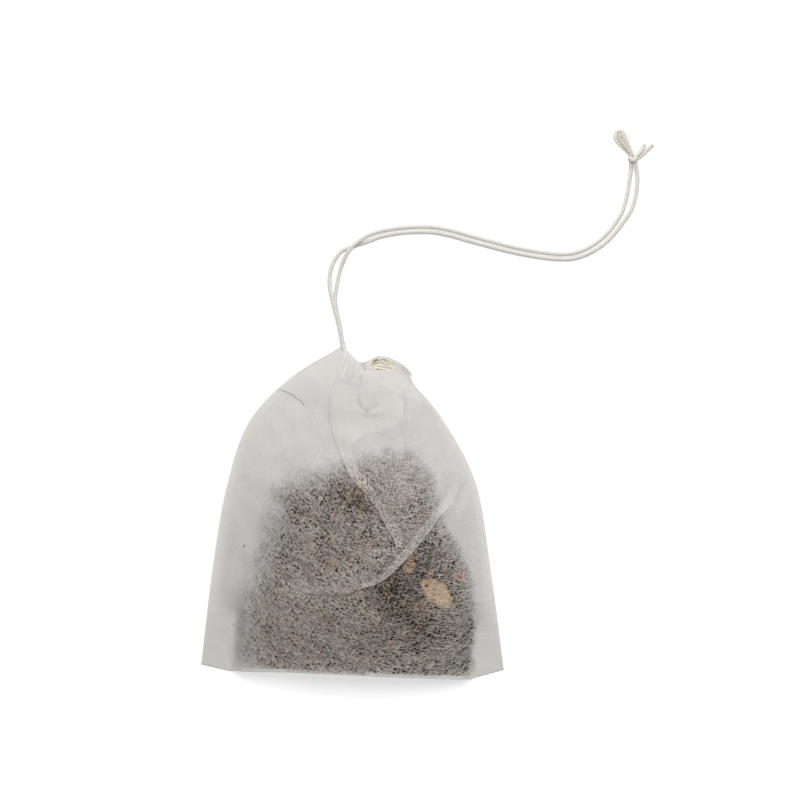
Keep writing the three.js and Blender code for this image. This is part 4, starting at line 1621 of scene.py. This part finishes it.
    def _heap(self, material: bpy.types.Material) -> bpy.types.Object:
        """The closed dark body of the heap, made of rings on its top and the same rings on its floor.

        Args:
            material: Its finish.

        Returns:
            The heap.
        """
        bearing = np.linspace(0, FULL_TURN, self.heap_sides, endpoint=False)
        line = along(self.rim, np.linspace(0, 1, self.heap_samples)) - self.heap_centre
        angles = np.arctan2(line[:, 1], line[:, 0]) % FULL_TURN
        spread = np.interp(bearing, angles, np.linalg.norm(line, axis=1), period=FULL_TURN)
        shares = np.linspace(*self.heap_span, self.heap_rings)[:, None]
        x = self.heap_centre[0] + shares * spread * np.cos(bearing)
        y = self.heap_centre[1] + shares * spread * np.sin(bearing)
        height = np.minimum(self._surface(x, y), self.shape.ceiling(x, y) - self.heap_gap)
        top = np.stack([x, y, np.maximum(height, self.floor + self.heap_least)], axis=-1)
        lean = self.base_lean * (1 - smoothstep(distance_to(self.fold, x, y), 0, self.base_run))
        under = np.stack([x, y + lean, np.full(x.shape, self.floor)], axis=-1)[::-1]
        points = np.concatenate([top, under]).reshape(-1, 3)
        parts = MeshParts()
        faces = capped_faces(2 * self.heap_rings, self.heap_sides)
        parts.add(points, faces, np.clip(self.heap_shade + self._shade(points), 0, 1))
        return parts.build("tea_heap", material)

    def _flakes(self, places: np.ndarray, lengths: np.ndarray, widths: np.ndarray, tints: np.ndarray,
                depths: np.ndarray) -> MeshParts:
        """Curled shards of leaf, each lying on the heap and kept under the paper.

        Args:
            places: Where each shard lies, in plan.
            lengths: Length of each shard.
            widths: Width of each shard.
            tints: Shade of each shard.
            depths: How far below the paper each shard's middle lies.

        Returns:
            The shards' points and faces.
        """
        count = len(places)
        sections = np.linspace(-1, 1, self.shard_sections)
        ring = np.array([[-1, -0.5], [1, -0.5], [1, 0.5], [-1, 0.5]])
        heading, curl, roll = self.draw.uniform(-1, 1, (3, count)) * np.array(self.shard_turns)[:, None]
        tilt = self.draw.normal(0, self.shard_tilt, count)
        points = np.zeros((count, len(sections), len(ring), 3))
        for k, share in enumerate(sections):
            taper = 1 - self.shard_taper * share ** 2
            cos, sin = np.cos(roll * share)[:, None], np.sin(roll * share)[:, None]
            side = ring[:, 0] * taper * widths[:, None] / 2
            lift = ring[:, 1] * self.shard_thickness * widths[:, None] * taper
            points[:, k, :, 0] = (share * lengths / 2)[:, None]
            points[:, k, :, 1] = side * cos - lift * sin + (curl * lengths * share ** 2)[:, None] * 0.5
            points[:, k, :, 2] = side * sin + lift * cos + (tilt * share * lengths / 2)[:, None]
        cos, sin = np.cos(heading)[:, None, None], np.sin(heading)[:, None, None]
        x = points[..., 0] * cos - points[..., 1] * sin + places[:, 0, None, None]
        y = points[..., 0] * sin + points[..., 1] * cos + places[:, 1, None, None]
        highest = self.shape.ceiling(x, y) - self.headroom - self.shard_skin * (1 - ring[:, 1])
        middle = self.shape.ceiling(*places.T) - depths
        z = np.maximum(np.minimum(points[..., 2] + middle[:, None, None], highest), self.floor)
        faces = capped_faces(len(sections), len(ring))
        parts = MeshParts()
        for shard, tint in zip(np.stack([x, y, z], axis=-1).reshape(count, -1, 3), tints):
            parts.add(shard, faces, tint)
        return parts

    def _scatter(self, count: int, margin: float) -> np.ndarray:
        """Places drawn evenly over the heap and clear of the larger pieces.

        Args:
            count: How many, at most.
            margin: Least distance inside the tea's edge.

        Returns:
            The places, in plan.
        """
        low, high = self.edge.min(axis=0), self.edge.max(axis=0)
        places = self.draw.uniform(low, high, (count * 3, 2))
        clear = inside(self.edge, *places.T)
        clear &= distance_to(self.rim, *places.T) > margin
        for chunk in self.chunks:
            closed = np.array([*chunk.outline, chunk.outline[0]])
            clear &= ~inside(closed[:-1], *places.T)
            clear &= distance_to(closed, *places.T) > self.chunk_margin
        return places[clear][:count]

    def _leaves(self, material: bpy.types.Material) -> bpy.types.Object:
        """Twisted and broken leaf all over the heap.

        Args:
            material: Its finish.

        Returns:
            All the leaf as one piece.
        """
        places = self._scatter(self.leaf_count, self.leaf_margin)
        count = len(places)
        lengths = self.draw.gamma(*self.leaf_length_curve, count).clip(*self.leaf_lengths)
        widths = self.draw.uniform(*self.leaf_widths, count)
        shades = self.draw.beta(*self.leaf_shade_curve, count) + self._shade(places)
        depths = self.shape.ceiling(*places.T) - self._surface(*places.T)
        depths = (depths + self.draw.uniform(*self.leaf_depths, count)).clip(self.leaf_least_depth)
        parts = self._flakes(places, lengths, widths, np.clip(shades, *self.leaf_shades), depths)
        return parts.build("tea_leaf_shards", material, smooth=False)

    def _bits(self, material: bpy.types.Material) -> bpy.types.Object:
        """Small bits of fruit, peel and petal among the leaf, the ones in chosen places first.

        Args:
            material: Their finish.

        Returns:
            All the bits as one piece.
        """
        chosen = np.array(self.chosen_bits)
        drawn = self._scatter(self.bit_count, self.bit_margin)
        places = np.vstack([chosen[:, :2], drawn])
        limits = (self.bit_lengths, self.bit_widths, self.bit_shades)
        lengths, widths, shades = (
            np.concatenate([given, self.draw.uniform(*limit, len(drawn))])
            for given, limit in zip(chosen[:, 2:].T, limits))
        depths = self.draw.uniform(*self.bit_depths, len(places))
        depths[:len(chosen)] = self.chosen_bit_depth
        parts = self._flakes(places, lengths, widths, shades, depths)
        return parts.build("tea_coloured_bits", material, smooth=False)

    def _dust(self, material: bpy.types.Material) -> bpy.types.Object:
        """Specks of dust on the paper, the ones in chosen places first, and one stray hair.

        Args:
            material: Their finish.

        Returns:
            All the dust as one piece.
        """
        chosen = np.array(self.chosen_specks)
        places = self.shape.plan(*self.draw.uniform(*self.dust_area, (self.dust_count, 2)).T)
        places[:len(chosen)] = chosen[:, :2]
        lengths = self.draw.uniform(*self.dust_lengths, self.dust_count)
        lengths[:len(chosen)] = chosen[:, 2]
        shades = self.draw.uniform(*self.dust_shades, self.dust_count)
        depths = np.full(self.dust_count, self.headroom + self.dust_depth)
        parts = self._flakes(places, lengths, lengths * self.dust_width, shades, depths)
        parts.points = [points + (0, 0, self.dust_lift) for points in parts.points]
        hair = np.array(self.hair)
        route = np.column_stack([hair, self.shape.ceiling(*hair.T) + self.dust_lift])
        StringMaker(diameter=self.hair_diameter, plies=1, sides=5).run(parts, route.tolist())
        return parts.build("tea_dust", material, smooth=False)

    def _chunk(self, chunk: Chunk) -> bpy.types.Object:
        """One lumpy dried piece, pressed against the paper.

        Args:
            chunk: Which piece.

        Returns:
            The closed piece.
        """
        closed = smooth_line([*chunk.outline, chunk.outline[0]], steps=10)
        rim = along(closed, np.linspace(0, 1, self.chunk_sides, endpoint=False))
        middle = rim.mean(axis=0)
        round_power, flat_power = self.chunk_powers
        rows = []
        for angle in np.linspace(self.chunk_pole, math.pi - self.chunk_pole, self.chunk_rings):
            place = lerp(middle, rim, math.sin(angle) ** round_power)
            top = self.shape.ceiling(*place.T) - self.headroom
            level = math.copysign(abs(math.cos(angle)) ** flat_power, math.cos(angle))
            height = top - self.chunk_half * (1 - level) + self.chunk_lumps.at(*place.T)
            rows.append(np.column_stack([place, np.minimum(top, height)]))
        points = np.vstack(rows)
        shades = self.chunk_shade + self.chunk_shades.at(points[:, 0], points[:, 1])
        parts = MeshParts()
        parts.add(points, capped_faces(self.chunk_rings, self.chunk_sides), np.clip(shades, 0, 1))
        return parts.build(f"dried_{chunk.node}", DriedLeaf(chunk.slot.value, chunk.stops).material())


# String


@dataclass
class StringMaker:
    """Cotton thread laid from twisted plies along a route."""

    diameter: float = 1.04
    plies: int = 3
    ply_share: float = 0.33
    sides: int = 7
    lay: float = 2.3
    step: float = 0.2
    least_points: int = 8
    fray_spread: float = 1.1
    fray_thinning: float = 0.35
    least_height: float = 0.02

    def run(self, parts: MeshParts, route: Sequence, closed: bool = False, fray: float = 0.0,
            shade: float = 1.0) -> np.ndarray:
        """Adds one length of thread.

        Args:
            parts: Where it goes.
            route: Points that it follows.
            closed: Whether its end meets its start.
            fray: How far from its end the plies open.
            shade: How light it is, from 0 to 1.

        Returns:
            The middle line of the thread.
        """
        line = smooth_line([*route, route[0]] if closed else route)
        length = line_length(line)
        count = max(self.least_points, round(length / self.step))
        travel = np.linspace(0, length, count, endpoint=not closed)
        centre = along(line, travel / length)
        ahead = np.gradient(centre, axis=0)
        if closed:
            ahead = np.roll(centre, -1, axis=0) - np.roll(centre, 1, axis=0)
        ahead /= np.linalg.norm(ahead, axis=1, keepdims=True)
        side = np.cross(ahead, (0, 0, 1.0))
        side /= np.maximum(np.linalg.norm(side, axis=1, keepdims=True), TINY)
        over = np.cross(side, ahead)
        turns = max(1, round(length / self.lay)) / length if closed else 1 / self.lay
        opened = smoothstep(travel, length - fray, length) if fray else np.zeros(count)
        radius = self.diameter * self.ply_share
        out = (self.diameter / 2 - radius) * (1 + self.fray_spread * opened)
        for ply in range(self.plies):
            angle = FULL_TURN * (travel * turns + ply / self.plies)
            shift = (np.cos(angle) * out)[:, None] * side + (np.sin(angle) * out)[:, None] * over
            thickness = radius * (1 - self.fray_thinning * opened)
            self._ply(parts, centre, shift, side, over, thickness, closed, shade)
        return centre

    def _ply(self, parts: MeshParts, centre: np.ndarray, shift: np.ndarray, side: np.ndarray,
             over: np.ndarray, radius: np.ndarray, closed: bool, shade: float) -> None:
        """Adds one ply as a tube that turns round the thread's middle line.

        Args:
            parts: Where it goes.
            centre: The thread's middle line.
            shift: From the middle line to the ply's own line.
            side: Directions across the thread.
            over: Directions up from the thread.
            radius: The ply's radius at each point.
            closed: Whether the end meets the start.
            shade: How light it is, from 0 to 1.
        """
        around = FULL_TURN * np.arange(self.sides) / self.sides
        spokes = side[:, None] * np.cos(around)[:, None] + over[:, None] * np.sin(around)[:, None]
        rings = (centre + shift)[:, None] + spokes * radius[:, None, None]
        rings[..., 2] = np.maximum(rings[..., 2], self.least_height)
        outward = shift / np.linalg.norm(shift, axis=1, keepdims=True)
        # 1 where the ply faces outward and 0 where it faces the groove; the finish paints shade where it is
        # low.
        raised = np.clip(0.5 + 0.5 * np.einsum("ijk,ik->ij", spokes, outward), 0, 1)
        faces = capped_faces(len(rings), self.sides)
        if closed:
            faces = strip_faces(len(rings) + 1, self.sides, closed=True) % (len(rings) * self.sides)
        parts.add(rings.reshape(-1, 3), faces, raised.ravel() * shade)


@dataclass
class Drawstring:
    """The cotton drawstring: two free strands, the knot that joins them, and the stretch inside the hem."""

    shape: BagShape
    thread: StringMaker = field(default_factory=StringMaker)
    strand_a: Sequence[Point3] = (
        (-2.3, 39.2, 1.7), (-2.7, 41.4, 1.7), (-3.3, 44.2, 1.7), (-4.0, 47.0, 1.7), (-4.7, 49.8, 1.5),
        (-5.2, 52.1, 0.9), (-5.3, 54.4, 0.5), (-4.9, 56.7, 0.5), (-3.9, 59.0, 0.5), (-2.2, 60.9, 0.5),
        (-0.1, 61.7, 0.5), (3.8, 63.0, 0.5), (6.5, 64.0, 0.5), (10.6, 64.8, 0.5), (14.7, 65.1, 0.5),
        (18.8, 65.0, 0.5), (22.9, 64.2, 0.5), (27.1, 63.0, 0.5), (31.2, 61.9, 0.5), (35.4, 60.8, 0.5),
        (39.6, 59.9, 0.5), (43.8, 59.2, 0.5), (48.0, 58.8, 0.5), (51.4, 59.0, 0.5), (54.8, 60.2, 0.5),
        (57.9, 62.1, 0.5), (60.4, 64.5, 0.5), (62.4, 67.0, 0.5), (64.0, 69.3, 0.5), (65.0, 71.4, 0.5),
        (65.6, 73.8, 0.5), (65.9, 76.4, 0.5), (65.9, 78.5, 0.6), (65.6, 80.0, 0.8))
    strand_b: Sequence[Point3] = (
        (-2.2, 39.2, 0.5), (-2.6, 41.4, 0.5), (-3.1, 44.2, 0.5), (-3.7, 47.0, 0.5), (-4.0, 49.8, 0.5),
        (-3.7, 52.1, 0.5), (-3.3, 54.2, 0.5), (-2.7, 56.7, 0.6), (-1.8, 58.9, 1.1), (-0.7, 60.9, 1.7),
        (1.1, 62.7, 1.7), (3.4, 64.2, 1.2), (6.2, 65.2, 0.6), (10.5, 66.0, 0.5), (14.7, 66.3, 0.5),
        (18.9, 66.2, 0.5), (23.2, 65.4, 0.5), (27.4, 64.2, 0.5), (31.5, 63.1, 0.5), (35.7, 62.0, 0.5),
        (39.8, 61.1, 0.5), (44.0, 60.4, 0.5), (48.1, 60.0, 0.5), (51.1, 60.2, 0.5), (54.2, 61.3, 0.5),
        (57.1, 63.1, 0.5), (59.5, 65.4, 0.5), (61.2, 67.7, 0.5), (62.3, 69.5, 0.5), (63.0, 71.5, 0.5),
        (63.6, 73.9, 0.5), (64.0, 76.4, 0.5), (64.3, 78.5, 0.6), (64.4, 80.0, 0.8))
    outer_loop: Sequence[Point3] = (
        (64.7, 82.2, 1.2), (63.8, 83.6, 0.8), (62.4, 84.9, 0.6), (61.2, 86.1, 0.5), (60.8, 87.2, 0.5),
        (61.1, 88.1, 0.5), (61.9, 88.5, 0.5), (62.7, 88.0, 0.5), (63.4, 86.6, 0.5), (64.0, 84.8, 0.7),
        (64.8, 82.6, 1.2))
    inner_loop: Sequence[Point3] = (
        (64.7, 82.4, 1.6), (63.5, 84.3, 1.3), (62.4, 85.7, 1.0), (61.7, 86.6, 0.9), (61.6, 87.3, 0.8),
        (61.9, 87.6, 0.8), (62.4, 87.3, 0.9), (63.0, 86.2, 1.1), (63.8, 84.4, 1.4), (64.8, 82.4, 1.6))
    tails: Sequence[Sequence[Point3]] = (
        ((65.0, 82.0, 1.6), (66.2, 83.2, 1.4), (67.0, 84.3, 1.1), (67.6, 85.4, 0.8)),
        ((65.1, 81.7, 1.1), (66.6, 82.6, 0.8), (68.1, 84.0, 0.6), (69.5, 85.3, 0.5)))
    stubs: Sequence[Sequence[Point3]] = (
        ((65.6, 80.0, 0.8), (65.5, 80.6, 0.9), (65.3, 81.2, 1.0), (65.0, 81.9, 1.3)),
        ((64.4, 80.0, 0.8), (64.4, 80.6, 0.9), (64.5, 81.2, 1.0), (64.7, 81.9, 1.3)))
    knot_centre: Point3 = (64.8, 82.0, 1.3)
    knot_radius: float = 0.72
    knot_points: int = 12
    knot_lean: float = 0.5
    knot_tilts: Point2 = (0.35, -0.35)
    # Painted shade on the inner strand of the doubled loop.
    inner_loop_painted_shade: float = 0.12
    tail_fray: float = 1.4
    hem_front: Sequence[float] = (0.16, 0.32, 0.5, 0.68, 0.84)
    hem_back: Sequence[float] = (0.8, 0.6, 0.4, 0.22)
    hem_entry: Sequence[Point3] = ((-1.9, 37.8, 1.8), (-1.1, 36.4, 2.1))
    hem_exit: Sequence[Point3] = ((-1.2, 36.6, 1.2), (-1.9, 38.0, 0.7))
    hem_layers: float = 0.43
    hem_floor: float = 0.12
    hem_drop: float = 2.1
    hem_return: float = 1.6
    yarn: StringMaker = field(default_factory=lambda: StringMaker(diameter=0.5, plies=2, lay=1.9))
    yarn_colour_and_groove_shade: Sequence[Colour] = ((0.95, 0.88, 0.74), (0.62, 0.47, 0.3))
    yarn_count: int = 20
    yarn_waver: Point3 = (0.3, 0.4, 0.15)
    yarn_shifts: Sequence[Point3] = ((0, -1.1, -0.2), (0, 1.1, 0.4))
    fuzz_count: int = 420
    fuzz_length: float = 0.9
    fuzz_radius: float = 0.018
    fuzz_section: Sequence[Point2] = ((1, 0), (-0.5, 0.87), (-0.5, -0.87))
    fuzz_slant: Point3 = (0.3, 0.5, 0.8)
    fuzz_points: int = 4
    fuzz_rises: Point2 = (-0.1, 0.9)
    fuzz_bend: float = 0.5
    fuzz_start: float = 0.3
    fuzz_reaches: Point2 = (0.3, 1.0)
    fuzz_least_height: float = 0.04
    fuzz_shade: float = 0.9
    seed: int = 7

    def build(self) -> list[bpy.types.Object]:
        """Makes the strands, the knot, the stretch in the hem and the loose fibres on them.

        Returns:
            The pieces, declared and dressed.
        """
        cotton = TwistedCotton().material()
        knot = self._knot(cotton)
        lines = []
        made = [knot]
        for name, route in (("a", self.strand_a), ("b", self.strand_b)):
            parts = MeshParts()
            line = self.thread.run(parts, route)
            strand = parts.build(f"cotton_strand_{name}", cotton)
            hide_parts(f"drawstring_strand_{name}")
            lines.append(line)
            made.append(strand)
        made += self._hem_stretch(cotton)
        made.append(self._fuzz(lines, cotton))
        return made

    def _knot(self, cotton: bpy.types.Material) -> bpy.types.Object:
        """The knot with its two wraps, the doubled loop and the cut tails.

        Args:
            cotton: The thread's finish.

        Returns:
            The knot as one piece.
        """
        parts = MeshParts()
        centre = np.array(self.knot_centre)
        ring = FULL_TURN * np.arange(self.knot_points) / self.knot_points
        for tilt in self.knot_tilts:
            flat = np.stack([np.cos(ring), -np.sin(ring) * math.sin(self.knot_lean), np.sin(ring)], axis=1)
            spun = flat.copy()
            spun[:, 0] = flat[:, 0] * math.cos(tilt) - flat[:, 1] * math.sin(tilt)
            spun[:, 1] = flat[:, 0] * math.sin(tilt) + flat[:, 1] * math.cos(tilt)
            self.thread.run(parts, list(centre + self.knot_radius * spun), closed=True)
        self.thread.run(parts, self.outer_loop)
        # The loop's inner strand is darkened as painted shade, for the shadow inside the doubled loop.
        self.thread.run(parts, self.inner_loop, shade=self.inner_loop_painted_shade)
        for tail in self.tails:
            self.thread.run(parts, tail, fray=self.tail_fray)
        for stub in self.stubs:
            self.thread.run(parts, stub)
        knot = parts.build("cotton_knot", cotton)
        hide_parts("drawstring_knot")
        return knot

    def _hem_stretch(self, cotton: bpy.types.Material) -> list[bpy.types.Object]:
        """The thread inside the hem, and the loose yarns that show beside it in the notch.

        The thread runs from strand a along the front, round the right end and back to strand b.

        Args:
            cotton: The thread's finish.

        Returns:
            The thread, and the yarns as one piece.
        """
        front, back = np.array(self.hem_front), np.array(self.hem_back)
        mouth = np.ones(len(front))
        inner = self.hem_layers + self.thread.diameter / 2
        high = self.shape.front_height(front, mouth) - self.shape.gather(front, mouth)
        high -= self.shape.gather_height / 2 + inner
        low = np.full(len(back), self.hem_floor + self.shape.gather_height + inner)
        along_front = np.column_stack([self.shape.plan(front, 1.0) - (0, self.hem_drop), high])
        along_back = np.column_stack([self.shape.plan(back, 1.0) - (0, self.hem_drop), low])
        along_back[:, 1] -= self.hem_return
        sides = [*along_front, *along_back]
        route = [self.strand_a[0], *self.hem_entry, *sides, *self.hem_exit, self.strand_b[0]]
        hidden = MeshParts()
        self.thread.run(hidden, route)
        stretch = hidden.build("cotton_in_hem", cotton)
        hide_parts("drawstring_in_hem")
        parts = MeshParts()
        draw = np.random.default_rng(self.seed)
        for _ in range(self.yarn_count):
            waver = draw.normal(0, self.yarn_waver, along_front.shape)
            self.yarn.run(parts, list(along_front + (waver + draw.uniform(*self.yarn_shifts))))
        # The yarns' second colour is painted shade for the grooves between their plies.
        finish = TwistedCotton("loose_cotton", *self.yarn_colour_and_groove_shade).material()
        bundle = parts.build("cotton_in_notch", finish)
        return [piece for piece in (stretch, bundle)]

    def _fuzz(self, lines: list[np.ndarray], cotton: bpy.types.Material) -> bpy.types.Object:
        """Loose fibres that stand off the strands.

        Args:
            lines: Middle lines of the strands.
            cotton: The thread's finish.

        Returns:
            All the fibres as one piece.
        """
        draw = np.random.default_rng(self.seed)
        parts = MeshParts()
        triangle = np.array(self.fuzz_section) * self.fuzz_radius
        shares = np.linspace(0, 1, self.fuzz_points)[:, None]
        faces = capped_faces(self.fuzz_points, len(triangle))
        for _ in range(self.fuzz_count):
            line = lines[draw.integers(len(lines))]
            start = line[draw.integers(2, len(line) - 2)]
            heading, rise = draw.uniform(0, FULL_TURN), draw.uniform(*self.fuzz_rises)
            level = math.cos(rise)
            out = np.array([math.cos(heading) * level, math.sin(heading) * level, math.sin(rise)])
            bend = draw.normal(0, self.fuzz_bend, 3)
            reach = self.fuzz_start + draw.uniform(*self.fuzz_reaches) * self.fuzz_length * shares
            spine = start + out * reach + bend * (0.5 * self.fuzz_length * shares ** 2)
            spine[:, 2] = np.maximum(spine[:, 2], self.fuzz_least_height)
            side = np.cross(out, self.fuzz_slant)
            side /= np.linalg.norm(side)
            over = np.cross(out, side)
            rings = spine[:, None] + triangle[:, :1] * side + triangle[:, 1:] * over
            parts.add(rings.reshape(-1, 3), faces, self.fuzz_shade)
        fuzz = parts.build("cotton_fuzz", cotton)
        return fuzz


def main() -> None:
    """Builds the studio, the string, the paper and the tea in order."""
    logging.basicConfig(level=logging.INFO, format="%(message)s")
    Studio().build()
    shape = BagShape.from_frame()
    tea = TeaFill(shape)
    pieces = Drawstring(shape).build()
    pieces.append(PaperSheet(shape, tea).build())
    pieces += tea.build()
    for piece in pieces:
        log.info("%s: %d faces", piece.name, len(piece.data.polygons))


if __name__ == "__main__":
    main()
